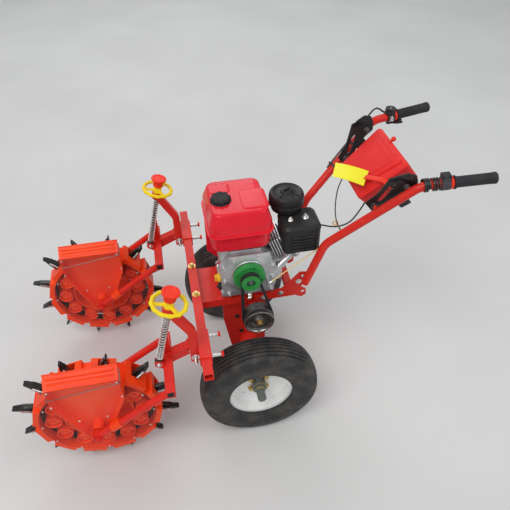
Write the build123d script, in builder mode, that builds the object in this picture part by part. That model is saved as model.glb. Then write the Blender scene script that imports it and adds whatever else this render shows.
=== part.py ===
# Two-row seeder: a walk-behind tractor on two wheels, with an engine, a toolbar across
# its nose and two seed drums carried in forks ahead of it.
# Millimetres. +X points forward, +Y to the left and +Z up. The origin is on the floor,
# midway between the front beaks and the ends of the grips.

import os
from math import atan2, cos, degrees, hypot, radians, sin, tan

from build123d import *

os.makedirs("parts", exist_ok=True)

# Wheels, 4.00-8 tyres on dished steel rims
TYRE_R = 207.5
TYRE_W = 112.0
TREAD_HALF = 44.0
TREAD_DROP = 8.0
FLANK_R = 156.0
TREAD_GROOVE = 5.0
WHEEL_Y = 272.0
RIM_LIP_R = 111.0
RIM_BEAD_R = 101.0
RIM_W = 76.0
RIM_WALL = 3.0
RIM_DISC_OUT = -12.0
TYRE_FIT = 0.2
HUB_R = 24.0
HUB_FLANGE_R = 50.0
HUB_LEN = 62.0
SHAFT_R = 12.5
SHAFT_END_Y = 335.0
SHAFT_HEX = 26.0
SHAFT_IN_CASE = 30.0

# Row units: the drum, its beaks and its place ahead of the wheel axle
UNIT_Y = 285.0
BEAK_COUNT = 12
BEAK_STEP = 360.0 / BEAK_COUNT
BEAK_TIP_R = 264.0
DRUM_X = 539.0
DRUM_REST_H = BEAK_TIP_R * cos(radians(BEAK_STEP / 2))

# Handlebars: the grip's end sets how far the machine reaches back
GRIP_END_X = -701.0

# Place of the wheel axle ahead of the origin
AXLE_X = -(DRUM_X + DRUM_REST_H + GRIP_END_X) / 2

# Toolbar and deck
BAR = 30.0
BAR_WALL = 3.0
BAR_X = 175.0
BAR_HALF = 403.0
DECK_TOP = 465.0
DECK_HALF = 85.0
DECK_DEPTH = 30.0
DECK_PLATE = 5.0
DECK_FRONT = BAR_X + BAR / 2
DECK_REAR = -60.0
BAR_Z = DECK_TOP + BAR / 2
RAIL_H = 10.0
RAIL_W = 30.0
RAIL_Y = 62.0
RAIL_LEN = 176.0
ENGINE_BASE = DECK_TOP + RAIL_H

# Gear case under the deck
CASE_HALF = 62.0
CASE_FRONT = 80.0
CASE_REAR = -60.0
CASE_END_R = 60.0
CASE_RIM = 6.0
CASE_COVER = 4.0
BEARING_R = 32.0
BEARING_OUT = 34.0
SHAFT_CLEAR = 0.3

# Handle brackets: plates that reach back from the deck
PLATE = 6.0
LUG_HOLE_R = 8.0
LUG_X = -195.0
LUG_Z = 452.0

# Handlebar tubes
TUBE_R = 13.5
TUBE_WALL = 2.5
TUBE_GAP = 0.3
HANDLE_FOOT_Y = DECK_HALF + PLATE + TUBE_R + TUBE_GAP
HANDLE_POINTS = [
    (-196.0, HANDLE_FOOT_Y, 508.0),
    (-248.0, 120.0, 685.0),
    (-490.0, 198.0, 927.0),
    (GRIP_END_X + 6.0, 224.5, 943.0),
]
HANDLE_BENDS = [90.0, 80.0]
GRIP_R = 16.0
GRIP_LEN = 118.0
GRIP_FIT = 0.15
GRIP_END = 5.0

# Engine, with its crank across the machine
CRANK_X = -2.0
CRANK_H = 110.0
CRANK_Z = ENGINE_BASE + CRANK_H
CRANKCASE_HALF = 84.0
SIDE_COVER = 14.0
CYL_TILT = 20.0
CYL_REACH = 165.0
CYL_HALF = 40.0
FIN_HALF = 50.0
FIN_COUNT = 9
FIN_PITCH = 9.0
FIN_T = 3.5
HEAD_LEN = 38.0
FIN_RISE = 12.0
CYL_START = 96.0

# Fuel tank
TANK_X = 15.0
TANK_L = 200.0
TANK_W = 220.0
TANK_BOTTOM = 692.0
TANK_SEAM = 756.0
TANK_SHOULDER = 786.0
TANK_TOP = 828.0
TANK_CORNER = 34.0
TANK_LIP = 6.0
TANK_PADS = [(-36.0, 24.0, 84.0, 108.0), (62.0, -48.0, 70.0, 60.0)]
TANK_PAD_H = 3.0
TANK_POST_R = 9.0
TANK_POSTS = [(44.0, 62.0), (44.0, -62.0), (-36.0, 62.0), (-36.0, -62.0)]
CRANKCASE_TOP = 676.0
COVER_BOLTS = [
    (-78.0, 500.0), (64.0, 500.0), (76.0, 560.0), (76.0, 618.0),
    (46.0, 654.0), (-38.0, 654.0), (-82.0, 614.0), (-84.0, 556.0),
]
COVER_BOSS_R = 8.0
COVER_BOSS_H = 4.0
FILLER = (70.0, 74.0, 520.0)
FILLER_R = 12.0
FILLER_LEN = 26.0
CAP_X = 65.0
CAP_Y = 15.0
CAP_R = 32.0
CAP_H = 18.0

# Air cleaner and muffler
CLEANER_X = -153.0
CLEANER_Y = -22.0
CLEANER_R = 58.0
CLEANER_BASE = 745.0
CLEANER_TOP = 815.0
MUFFLER_FRONT = -121.0
MUFFLER_REAR = -245.0
MUFFLER_Y = (-20.0, 92.0)
MUFFLER_Z = (640.0, 740.0)
MUFFLER_WALL = 3.0
MUFFLER_CORE = 692.0
LOUVRE_Z = (652.0, 664.0, 676.0, 688.0, 700.0)
LOUVRE_L = 78.0
LOUVRE_H = 6.0
LOUVRE_OUT = 3.5

# Fan shroud and recoil starter
SHROUD_FRONT = 112.0
SHROUD_REAR = -112.0
SHROUD_TOP = 735.0
SHROUD_IN = 118.0
SHROUD_OUT = 160.0
RECOIL_R = 86.0
RECOIL_OUT = 192.0

# Belt drive on the left side
BELT_Y = 137.0
BELT_W = 14.0
BELT_T = 9.0
BELT_SEAT_TOP = 22.5
BELT_SEAT_LOW = 46.0
CLUTCH_R = 53.5
CLUTCH_PULLEY_R = 31.5
CLUTCH_FACE_Y = 150.0
CLUTCH_HOLE_R = 4.0
CLUTCH_HOLE_AT = 43.0
PULLEY_FACE_Y = 166.0
SPARE_GROOVE = (150.0, 160.0)
PULLEY_R = 52.0
PULLEY_X = -25.0
PULLEY_Z = 410.0
PULLEY_BOSS_R = 24.0
PULLEY_BOSS_Y = 112.0

# Cables, as points ahead of the wheel axle, and the glands they leave the console by
GLAND_R = 7.0
GLAND_LEN = 22.0
THROTTLE_CABLE_R = 2.5
THROTTLE_ROUTE = [
    (-431.8, -20.0, 782.5), (-438.0, -21.0, 755.0), (-428.0, -20.0, 722.0),
    (-405.0, -12.0, 688.0), (-374.0, 0.0, 658.0), (-329.0, -8.0, 640.0),
    (-283.0, -30.0, 641.0), (-240.0, -52.0, 646.0), (-194.0, -66.0, 650.0),
]
CLUTCH_CABLE_R = 2.0
CLUTCH_ROUTE = [
    (-354.5, -60.0, 807.0), (-341.0, -57.0, 780.0), (-334.0, -50.0, 735.0),
    (-331.0, -38.0, 690.0), (-331.0, -14.0, 660.0), (-337.0, 20.0, 647.0),
    (-328.0, 54.0, 653.0), (-296.0, 79.0, 663.0), (-258.0, 90.0, 661.0),
    (-67.6, 127.2, 555.2),
]
STOP_X = -63.0
STOP_Z = 552.0
STOP_T = 6.0
STOP_H = 16.0
STOP_OUT = 134.0

# Carburettor beside the cylinder head
CARB_X = -176.0
CARB_Z = 655.0
CARB_L = 34.0
CARB_H = 50.0
CARB_OUT = 93.0
BOWL_R = 16.0
BOWL_H = 26.0
INTAKE_R = 15.0

# Controls on the handlebars, ahead of the grips
CONTROL_R = 19.0
CONTROL_W = 24.0
CONTROL_GAP = 12.0
SWITCH_H = 24.0
KNOB_R = 17.0
KNOB_H = 14.0
LEVER_L = 58.0

# Console between the handlebars
CONSOLE_FRONT = (-350.0, 830.0)
CONSOLE_REAR = (-483.0, 949.0)
CONSOLE_FRONT_HALF = 98.0
CONSOLE_REAR_HALF = 118.0
CONSOLE_DEEP = 78.0
CONSOLE_CORNER = 14.0
PAD_LOBE = (-8.0, 12.0, 62.0)
PAD_EDGE = (66.0, 4.0, 30.0, 176.0)
PAD_H = 6.0
BRACKET_LOW = (-385.0, 136.0, 831.0)
BRACKET_HIGH = (-461.0, 170.0, 910.0)
BRACKET_PLATE = 4.0
TRAY_U = (-10.0, 25.0)
CONSOLE_LUG_R = 7.0
LUG_SEAT = 3.5

# Toolbar clamps, goosenecks and swing arms of the row units, from the unit's centre
COLLAR_WALL = 3.7
COLLAR_GAP = 0.3
COLLAR = BAR + 2 * (COLLAR_GAP + COLLAR_WALL)
COLLAR_LEFT = 60.0
COLLAR_RIGHT = -52.0
COLLAR_FRONT = BAR_X + COLLAR / 2
SET_BOLT_R = 5.0
SET_BOLT_LEN = 30.0
SET_BOLT_HEAD = 9.0
SET_BOLT_Y = 40.0
PIVOT_X = COLLAR_FRONT + 18.0
PIVOT_Z = 457.0
PIVOT_R = 8.0
PIN_CLEAR = 0.2
EAR_R = 16.0
EAR_T = 6.0
EAR_GAP = 1.0
ARM_Y = -30.0
ARM_BOX = 30.0
GOOSE_Y = 8.0
GOOSE_BOX = 26.0
GOOSE_X = COLLAR_FRONT + GOOSE_BOX / 2
GOOSE_FOOT = 440.0
GOOSE_BEND = 571.0

# Crossbar, fork and drum axle
CROSS_X = 293.0
CROSS_Z = 424.0
CROSS_BOX = 30.0
FORK_Y = 105.0
FORK_R = 12.5
FORK_EYE_R = 17.0
AXLE_R = 8.0
AXLE_CLEAR = 0.4
FIN_PLATE = 6.0
FIN_TOP = 560.0

# Depth screw, from its eye up along the screw
EYE_X = 319.0
EYE_Z = 450.0
SCREW_TOP_X = 247.0
SCREW_TOP_Z = 747.0
SCREW_TILT = degrees(atan2(EYE_X - SCREW_TOP_X, SCREW_TOP_Z - EYE_Z))
SCREW_LEN = hypot(EYE_X - SCREW_TOP_X, SCREW_TOP_Z - EYE_Z)
SCREW_R = 5.0
SCREW_CLEAR = 2.5
EYE_R = 13.0
EYE_W = 12.0
EYE_PIN_R = 6.0
SPRING_SEAT = 17.0
SPRING_R = 11.0
SPRING_WIRE = 3.0
SPRING_TURNS = 20
SPRING_POCKET = 60.0
BOSS_LOW = 222.0
BOSS_HIGH = 246.0
BOSS_R = 17.0
WHEEL_RING_R = 49.0
WHEEL_WIRE_R = 7.0
WHEEL_AT = 258.0
WHEEL_WAVES = 12
WAVE_R = 6.5
WHEEL_HUB_R = 15.0
WHEEL_HUB_H = 22.0
CAP_LOW = 274.0
STEM_R = 18.0
FLARE_R = 27.0

# Drum shell, cover, holders and beaks, from the drum's centre
SHELL_HALF = 42.0
SHELL_WALL = 3.0
BAND_OUT = 186.0
BAND_WALL = 4.0
HOLDER_OUT = 200.0
HOLDER_L = 76.0
HOLDER_IN = 180.0
SLOT_L = 34.0
SLOT_W = 21.0
DRUM_HUB_R = 26.0
CUP_R = 26.0
CUP_WALL = 3.0
CUP_AT = 143.0
CUP_TOP = 34.0
COVER_T = 2.5
BEAK_RING_IN = 173.0
BEAK_W = 18.0
BEAK_WALL = 3.0
JAW_W = 11.0
JAW_PIN_R = 3.5
JAW_PIN_AT = 207.0
JAW_COIL_R = 7.0
JAW_COIL_W = 5.0

# Seed hopper beside the drum
HOPPER_IN = 50.0
HOPPER_OUT = 88.0
HOPPER_HALF = 106.0
HOPPER_TOP = 528.0
HOPPER_DROP = 28.0
HOPPER_STRAIGHT = 400.0
HOPPER_END_R = 42.0
HOPPER_WALL = 3.0
HOPPER_LID = 4.0
HOPPER_BOSS_R = 16.0
LID_RIBS = (-13.0, 0.0, 13.0)
LID_RIB_W = 5.0
LID_RIB_H = 3.0
WINDOW_T = 2.5


def side(y):
    """A plane across the machine at y, with x ahead of the wheel axle and y for height."""
    return Plane(origin=(AXLE_X, y, 0), x_dir=(1, 0, 0), z_dir=(0, -1, 0))


def front(x):
    """A plane facing forward at x ahead of the wheel axle."""
    return Plane(origin=(AXLE_X + x, 0, 0), x_dir=(0, 1, 0), z_dir=(1, 0, 0))


def level(z):
    """A level plane at height z, with its origin over the wheel axle."""
    return Plane(origin=(AXLE_X, 0, z))


def across(x, z):
    """The axis across the machine through x ahead of the wheel axle and height z."""
    return Axis((AXLE_X + x, 0, z), (0, 1, 0))


def placed(points, y_sign=1):
    """Points ahead of the wheel axle as points of the part, mirrored when y_sign is -1."""
    return [(AXLE_X + x, y_sign * y, z) for x, y, z in points]


def bend_radii(points):
    """An arc for each corner of a cord: 0.45 of the shorter run over tan(half the turn)."""
    radii = []
    for before, corner, after in zip(points, points[1:], points[2:]):
        run_in = Vector(*corner) - Vector(*before)
        run_out = Vector(*after) - Vector(*corner)
        half_turn = radians(run_in.get_angle(run_out)) / 2
        radii.append(0.45 * min(run_in.length, run_out.length) / tan(half_turn))
    return radii


def save(piece, name):
    """Labels a finished piece and writes its STEP file."""
    piece.part.label = name
    export_step(piece.part, f"parts/{name}.step")


# Toolbar
with BuildPart() as toolbar:
    with BuildSketch(side(BAR_HALF)):
        with Locations((BAR_X, BAR_Z)):
            Rectangle(BAR, BAR)
            Rectangle(BAR - 2 * BAR_WALL, BAR - 2 * BAR_WALL, mode=Mode.SUBTRACT)
    extrude(amount=2 * BAR_HALF)
save(toolbar, "toolbar")

# Folded deck with two rails for the engine
with BuildPart() as deck:
    with BuildSketch(front(DECK_REAR)):
        with BuildLine():
            Polyline(
                (-DECK_HALF, DECK_TOP - DECK_DEPTH),
                (-DECK_HALF, DECK_TOP),
                (DECK_HALF, DECK_TOP),
                (DECK_HALF, DECK_TOP - DECK_DEPTH),
                (DECK_HALF - DECK_PLATE, DECK_TOP - DECK_DEPTH),
                (DECK_HALF - DECK_PLATE, DECK_TOP - DECK_PLATE),
                (-DECK_HALF + DECK_PLATE, DECK_TOP - DECK_PLATE),
                (-DECK_HALF + DECK_PLATE, DECK_TOP - DECK_DEPTH),
                close=True,
            )
        make_face()
    extrude(amount=DECK_FRONT - DECK_REAR)
    with BuildSketch(level(DECK_TOP)):
        with Locations((CRANK_X, RAIL_Y), (CRANK_X, -RAIL_Y)):
            Rectangle(RAIL_LEN, RAIL_W)
    extrude(amount=RAIL_H)
save(deck, "deck")

# Gear case, from the deck down to the wheel shafts
CASE_TOP = DECK_TOP - DECK_PLATE
CASE_MID = (CASE_FRONT + CASE_REAR) / 2
with BuildPart() as gear_case:
    with BuildSketch(side(CASE_HALF)):
        with Locations((CASE_MID, CASE_TOP - 60)):
            Rectangle(CASE_FRONT - CASE_REAR, 120)
        with Locations((0, TYRE_R)):
            Circle(CASE_END_R)
        make_hull()
    extrude(amount=2 * CASE_HALF)
    for cover_y in (CASE_HALF, -CASE_HALF + CASE_COVER):
        with BuildSketch(side(cover_y)):
            with Locations((CASE_MID, CASE_TOP - 66)):
                Rectangle(CASE_FRONT - CASE_REAR + 2 * CASE_RIM, 120)
            with Locations((0, TYRE_R)):
                Circle(CASE_END_R + CASE_RIM)
            make_hull()
        extrude(amount=CASE_COVER)
    with BuildSketch(side(CASE_HALF + BEARING_OUT)):
        with Locations((0, TYRE_R)):
            Circle(BEARING_R)
    extrude(amount=2 * (CASE_HALF + BEARING_OUT))
    with BuildSketch(side(PULLEY_BOSS_Y)):
        with Locations((PULLEY_X, PULLEY_Z)):
            Circle(PULLEY_BOSS_R)
    extrude(amount=PULLEY_BOSS_Y - CASE_HALF)
    for s in (1, -1):
        with BuildSketch(side(s * (CASE_HALF + BEARING_OUT))):
            with Locations((0, TYRE_R)):
                Circle(SHAFT_R + SHAFT_CLEAR)
        extrude(amount=s * (BEARING_OUT + SHAFT_IN_CASE), mode=Mode.SUBTRACT)
save(gear_case, "gear_case")

# Handle brackets: two plates reaching back from the deck, with the hitch lugs
with BuildPart() as handle_brackets:
    for s in (1, -1):
        with BuildSketch(side(s * (DECK_HALF + PLATE))):
            with BuildLine():
                Polyline(
                    (-20, 437), (-20, 463), (-120, 480), (-165, 528), (-181, 546),
                    (-214, 540), (-222, 512), (-196, 496), (-186, 476), (-206, 462),
                    (-206, 438), (-190, 428), (-168, 440), (-120, 440), close=True,
                )
            make_face()
            with Locations((LUG_X, LUG_Z)):
                Circle(LUG_HOLE_R, mode=Mode.SUBTRACT)
        extrude(amount=s * PLATE)
    with BuildSketch(side(DECK_HALF)):
        with Locations((-150, 460)):
            RectangleRounded(26, 26, 4)
    extrude(amount=2 * DECK_HALF)
save(handle_brackets, "handle_brackets")

# Wheels: tyre, dished rim, and the hub with its half shaft
for wheel_side, s in (("left", 1), ("right", -1)):
    wheel_axis = across(0, TYRE_R)
    centre_y = s * WHEEL_Y

    with BuildPart() as tyre:
        with BuildSketch(front(0)):
            with BuildLine():
                bead_half = RIM_W / 2 - RIM_WALL - TYRE_FIT
                seat = TYRE_R + RIM_BEAD_R + TYRE_FIT
                lip = TYRE_R + RIM_LIP_R + TYRE_FIT
                shoulder = 2 * TYRE_R - TREAD_DROP
                flank = TYRE_R + FLANK_R
                Polyline(
                    (centre_y - bead_half, lip), (centre_y - bead_half, seat),
                    (centre_y + bead_half, seat), (centre_y + bead_half, lip),
                )
                ThreePointArc(
                    (centre_y + bead_half, lip),
                    (centre_y + TYRE_W / 2, flank),
                    (centre_y + TREAD_HALF, shoulder),
                )
                ThreePointArc(
                    (centre_y + TREAD_HALF, shoulder),
                    (centre_y, 2 * TYRE_R),
                    (centre_y - TREAD_HALF, shoulder),
                )
                ThreePointArc(
                    (centre_y - TREAD_HALF, shoulder),
                    (centre_y - TYRE_W / 2, flank),
                    (centre_y - bead_half, lip),
                )
            make_face()
            with Locations(
                (centre_y - 30, 2 * TYRE_R), (centre_y - 11, 2 * TYRE_R),
                (centre_y + 11, 2 * TYRE_R), (centre_y + 30, 2 * TYRE_R),
            ):
                Rectangle(TREAD_GROOVE, 4 * TREAD_GROOVE, mode=Mode.SUBTRACT)
        revolve(axis=wheel_axis)
    save(tyre, f"tyre_{wheel_side}")

    with BuildPart() as rim:
        lip_out = centre_y + s * RIM_W / 2
        lip_in = centre_y - s * RIM_W / 2
        disc_y = centre_y + s * RIM_DISC_OUT
        bead = TYRE_R + RIM_BEAD_R
        with BuildSketch(front(0)):
            with BuildLine():
                Polyline(
                    (lip_out, TYRE_R + RIM_LIP_R),
                    (lip_out - s * RIM_WALL, TYRE_R + RIM_LIP_R),
                    (lip_out - s * RIM_WALL, bead),
                    (lip_in + s * RIM_WALL, bead),
                    (lip_in + s * RIM_WALL, TYRE_R + RIM_LIP_R),
                    (lip_in, TYRE_R + RIM_LIP_R),
                    (lip_in, bead - RIM_WALL),
                    (disc_y + s * 6, bead - RIM_WALL),
                    (disc_y - s * 8, TYRE_R + 78),
                    (disc_y - s * 4, TYRE_R + 60),
                    (disc_y - s * 4, TYRE_R + HUB_R),
                    (disc_y, TYRE_R + HUB_R),
                    (disc_y, TYRE_R + 60),
                    (disc_y - s * 3, TYRE_R + 78),
                    (disc_y + s * 14, bead - RIM_WALL),
                    (lip_out, bead - RIM_WALL),
                    close=True,
                )
            make_face()
        revolve(axis=wheel_axis)
    save(rim, f"rim_{wheel_side}")

    with BuildPart() as hub:
        hub_back = disc_y - s * 4
        with BuildSketch(side(hub_back)):
            with Locations((0, TYRE_R)):
                Circle(HUB_FLANGE_R)
        extrude(amount=s * 8)
        with BuildSketch(side(hub_back - s * 26)):
            with Locations((0, TYRE_R)):
                Circle(HUB_R)
        extrude(amount=-s * HUB_LEN)
        with BuildSketch(side(s * (CASE_HALF - SHAFT_IN_CASE + 1))):
            with Locations((0, TYRE_R)):
                Circle(SHAFT_R)
        extrude(amount=-s * (WHEEL_Y - CASE_HALF + SHAFT_IN_CASE))
        with BuildSketch(side(s * WHEEL_Y)):
            with Locations((0, TYRE_R)):
                RegularPolygon(SHAFT_HEX / 2, 6, major_radius=False)
        extrude(amount=-s * (SHAFT_END_Y - WHEEL_Y))
    save(hub, f"hub_{wheel_side}")

# Handlebars with their console lugs, and the grips
for hand, s in (("left", 1), ("right", -1)):
    handle_points = placed(HANDLE_POINTS, s)
    with BuildPart() as handlebar:
        with BuildLine() as route:
            FilletPolyline(*handle_points, radius=HANDLE_BENDS)
        with BuildSketch(Plane(origin=route.line @ 0, z_dir=route.line % 0)):
            Circle(TUBE_R)
            Circle(TUBE_R - TUBE_WALL, mode=Mode.SUBTRACT)
        sweep()
        slope_start = Vector(*handle_points[1])
        slope_way = (Vector(*handle_points[2]) - slope_start).normalized()
        for bolt in placed([BRACKET_LOW, BRACKET_HIGH], s):
            bolt_point = Vector(*bolt)
            foot = slope_start + slope_way * (bolt_point - slope_start).dot(slope_way)
            lug_way = (foot - bolt_point).normalized()
            lug_start = bolt_point + lug_way * (BRACKET_PLATE / 2 + LUG_SEAT)
            lug_len = (foot - lug_start).length - TUBE_R + TUBE_WALL / 2
            with BuildSketch(Plane(origin=lug_start, z_dir=lug_way)):
                Circle(CONSOLE_LUG_R)
            extrude(amount=lug_len)
    save(handlebar, f"handlebar_{hand}")

    tube_end = Vector(*handle_points[-1])
    tube_way = (tube_end - Vector(*handle_points[-2])).normalized()
    with BuildPart() as grip:
        with BuildSketch(Plane(origin=tube_end + tube_way * GRIP_FIT, z_dir=tube_way)):
            Circle(GRIP_R)
        extrude(amount=GRIP_END)
        with BuildSketch(Plane(origin=tube_end + tube_way * GRIP_FIT, z_dir=tube_way)):
            Circle(GRIP_R)
            Circle(TUBE_R + GRIP_FIT, mode=Mode.SUBTRACT)
        extrude(amount=-(GRIP_LEN - GRIP_END))
    save(grip, f"grip_{hand}")

    # Switch block on the left tube, knob and lever on the right one
    ring_at = tube_end - tube_way * (GRIP_LEN + CONTROL_GAP)
    with BuildPart() as control:
        with BuildSketch(Plane(origin=ring_at, x_dir=(0, 0, 1), z_dir=tube_way)):
            Circle(CONTROL_R)
            if hand == "left":
                with Locations((CONTROL_R, 0)):
                    RectangleRounded(SWITCH_H, 1.5 * CONTROL_R, 4)
            Circle(TUBE_R + GRIP_FIT, mode=Mode.SUBTRACT)
        extrude(amount=-CONTROL_W)
        if hand == "right":
            knob_at = ring_at - tube_way * (CONTROL_W / 2)
            with BuildSketch(Plane(origin=knob_at + Vector(0, 0, CONTROL_R - 2))):
                Circle(KNOB_R)
            extrude(amount=KNOB_H)
            with BuildSketch(Plane(origin=knob_at - Vector(0, 0, CONTROL_R + 6.5), x_dir=-tube_way)):
                with Locations((-LEVER_L / 2 + 8, 0)):
                    RectangleRounded(LEVER_L, 12, 5)
            extrude(amount=8)
    save(control, f"control_{hand}")

# Console, in its own sloping plane
console_run = hypot(CONSOLE_REAR[0] - CONSOLE_FRONT[0], CONSOLE_REAR[1] - CONSOLE_FRONT[1])
console_up = Vector(
    (CONSOLE_REAR[0] - CONSOLE_FRONT[0]) / console_run,
    0,
    (CONSOLE_REAR[1] - CONSOLE_FRONT[1]) / console_run,
)
console_out = Vector(console_up.Z, 0, -console_up.X)
console_plane = Plane(
    origin=(
        AXLE_X + (CONSOLE_FRONT[0] + CONSOLE_REAR[0]) / 2,
        0,
        (CONSOLE_FRONT[1] + CONSOLE_REAR[1]) / 2,
    ),
    x_dir=console_up,
    z_dir=console_out,
)
with BuildPart() as console:
    with BuildSketch(console_plane):
        with BuildLine():
            Polyline(
                (-console_run / 2, -CONSOLE_FRONT_HALF),
                (console_run / 2, -CONSOLE_REAR_HALF),
                (console_run / 2, CONSOLE_REAR_HALF),
                (-console_run / 2, CONSOLE_FRONT_HALF),
                close=True,
            )
        make_face()
    extrude(amount=-CONSOLE_DEEP, taper=5)
    fillet(console.edges().group_by(SortBy.LENGTH)[0], CONSOLE_CORNER)
    with BuildSketch(console_plane):
        with Locations(PAD_LOBE[:2]):
            Circle(PAD_LOBE[2])
        with Locations(PAD_EDGE[:2]):
            Rectangle(*PAD_EDGE[2:])
        make_hull()
    extrude(amount=PAD_H)
    for cable_route in (placed(THROTTLE_ROUTE), placed(CLUTCH_ROUTE)):
        gland_at = Vector(*cable_route[0])
        with BuildSketch(Plane(origin=gland_at, z_dir=gland_at - Vector(*cable_route[1]))):
            Circle(GLAND_R)
        extrude(amount=GLAND_LEN)
save(console, "console")

# Bracket under the console: a tray joined to two splayed side plates
low_point = Vector(*placed([BRACKET_LOW])[0])
high_point = Vector(*placed([BRACKET_HIGH])[0])
bolt_run = (high_point - low_point).length
plate_slope = (BRACKET_HIGH[1] - BRACKET_LOW[1]) / (high_point - low_point).dot(console_up)
low_u = (low_point - Vector(*console_plane.origin)).dot(console_up)
with BuildPart() as console_bracket:
    for s in (1, -1):
        low = Vector(*placed([BRACKET_LOW], s)[0])
        along = (Vector(*placed([BRACKET_HIGH], s)[0]) - low).normalized()
        square = along.cross(console_out).normalized()
        with BuildSketch(Plane(origin=low, x_dir=along, z_dir=square)):
            with Locations((0, 0)):
                Polygon(
                    (-20, -18), (-14, 26), (40, 34), (98, 62), (120, 48), (142, -2),
                    (118, -16), (90, -10), (86, -66), (54, -66), (50, -12), (12, -14), align=None,
                )
                Polygon(
                    (14, 8), (44, 22), (80, 36), (78, 22), (50, 8), (26, 0),
                    align=None, mode=Mode.SUBTRACT,
                )
        extrude(amount=BRACKET_PLATE / 2, both=True)
    with BuildSketch(console_plane.offset(-CONSOLE_DEEP)):
        tray = [(u, BRACKET_LOW[1] + plate_slope * (u - low_u)) for u in TRAY_U]
        Polygon(
            (tray[0][0], tray[0][1]), (tray[1][0], tray[1][1]),
            (tray[1][0], -tray[1][1]), (tray[0][0], -tray[0][1]), align=None,
        )
    extrude(amount=-BRACKET_PLATE)
save(console_bracket, "console_bracket")

# Engine block: crankcase with its side cover
with BuildPart() as crankcase:
    with BuildSketch(side(CRANKCASE_HALF)):
        with BuildLine():
            Polyline(
                (-94, ENGINE_BASE), (88, ENGINE_BASE), (88, ENGINE_BASE + 14),
                (74, ENGINE_BASE + 24), (84, 640), (58, CRANKCASE_TOP), (-50, CRANKCASE_TOP), (-96, 618),
                (-88, ENGINE_BASE + 24), (-94, ENGINE_BASE + 14), close=True,
            )
        make_face()
    extrude(amount=2 * CRANKCASE_HALF)
    with BuildSketch(side(CRANKCASE_HALF + SIDE_COVER)):
        with BuildLine():
            Polyline(
                (-84, ENGINE_BASE + 16), (70, ENGINE_BASE + 16), (88, 530), (88, 628),
                (56, 666), (-46, 666), (-92, 622), (-96, 530), close=True,
            )
        make_face()
    extrude(amount=SIDE_COVER)
    with BuildSketch(side(CRANKCASE_HALF + SIDE_COVER + 8)):
        with Locations((CRANK_X, CRANK_Z)):
            Circle(30)
    extrude(amount=8)
    with BuildSketch(side(STOP_OUT)):
        with Locations((STOP_X, STOP_Z)):
            Rectangle(STOP_T, STOP_H)
    extrude(amount=STOP_OUT - CRANKCASE_HALF - SIDE_COVER)
    with BuildSketch(side(CRANKCASE_HALF + SIDE_COVER + COVER_BOSS_H)):
        with Locations(*COVER_BOLTS):
            RegularPolygon(COVER_BOSS_R, 8)
    extrude(amount=COVER_BOSS_H + 2)
    with BuildSketch(front(FILLER[0])):
        with Locations(FILLER[1:]):
            RegularPolygon(FILLER_R, 8)
    extrude(amount=FILLER_LEN)
    with BuildSketch(level(TANK_BOTTOM)):
        with Locations(*TANK_POSTS):
            Circle(TANK_POST_R)
    extrude(amount=CRANKCASE_TOP - TANK_BOTTOM)
save(crankcase, "crankcase")

# Finned cylinder and head, leaning back over the crank
cyl_way = Vector(-cos(radians(CYL_TILT)), 0, sin(radians(CYL_TILT)))


def along_cylinder(reach):
    """A plane square to the cylinder at a distance from the crank."""
    start = Vector(AXLE_X + CRANK_X, 0, CRANK_Z) + cyl_way * reach
    return Plane(origin=start, x_dir=(0, 1, 0), z_dir=cyl_way)


with BuildPart() as cylinder:
    with BuildSketch(along_cylinder(CYL_START)):
        RectangleRounded(2 * CYL_HALF, 2 * CYL_HALF, 12)
    extrude(amount=CYL_REACH - CYL_START)
    for fin in range(FIN_COUNT):
        with BuildSketch(along_cylinder(CYL_START + 4 + fin * FIN_PITCH)):
            RectangleRounded(2 * FIN_HALF, 2 * CYL_HALF + FIN_RISE, 8)
        extrude(amount=FIN_T)
    with BuildSketch(along_cylinder(CYL_REACH)):
        RectangleRounded(2 * FIN_HALF - 14, 2 * CYL_HALF - 6, 14)
    extrude(amount=HEAD_LEN)
    add(crankcase.part, mode=Mode.SUBTRACT)
save(cylinder, "cylinder")

# Fuel tank in two pressed halves joined at a lip, and its lobed cap
with BuildPart() as fuel_tank:
    with BuildSketch(level(TANK_SEAM)):
        with Locations((TANK_X, 0)):
            RectangleRounded(TANK_L, TANK_W, TANK_CORNER)
    extrude(amount=TANK_SHOULDER - TANK_SEAM, taper=3)
    with BuildSketch(level(TANK_SEAM)):
        with Locations((TANK_X, 0)):
            RectangleRounded(TANK_L, TANK_W, TANK_CORNER)
    extrude(amount=TANK_BOTTOM - TANK_SEAM, taper=9)
    with BuildSketch(level(TANK_SEAM - 2)):
        with Locations((TANK_X, 0)):
            RectangleRounded(TANK_L + 2 * TANK_LIP, TANK_W + 2 * TANK_LIP, TANK_CORNER)
    extrude(amount=4)
    with BuildSketch(level(TANK_SHOULDER)):
        with Locations((TANK_X, 0)):
            RectangleRounded(TANK_L - 4, TANK_W - 4, TANK_CORNER)
    extrude(amount=TANK_TOP - TANK_SHOULDER, taper=24)
    with BuildSketch(level(TANK_TOP)):
        for pad_x, pad_y, pad_l, pad_w in TANK_PADS:
            with Locations((pad_x, pad_y)):
                RectangleRounded(pad_l, pad_w, 14)
    extrude(amount=TANK_PAD_H)
save(fuel_tank, "fuel_tank")

with BuildPart() as fuel_cap:
    with BuildSketch(level(TANK_TOP)):
        with Locations((CAP_X, CAP_Y)):
            Circle(CAP_R)
            with PolarLocations(CAP_R + 6, 8):
                Circle(9, mode=Mode.SUBTRACT)
    extrude(amount=CAP_H)
save(fuel_cap, "fuel_cap")

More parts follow.
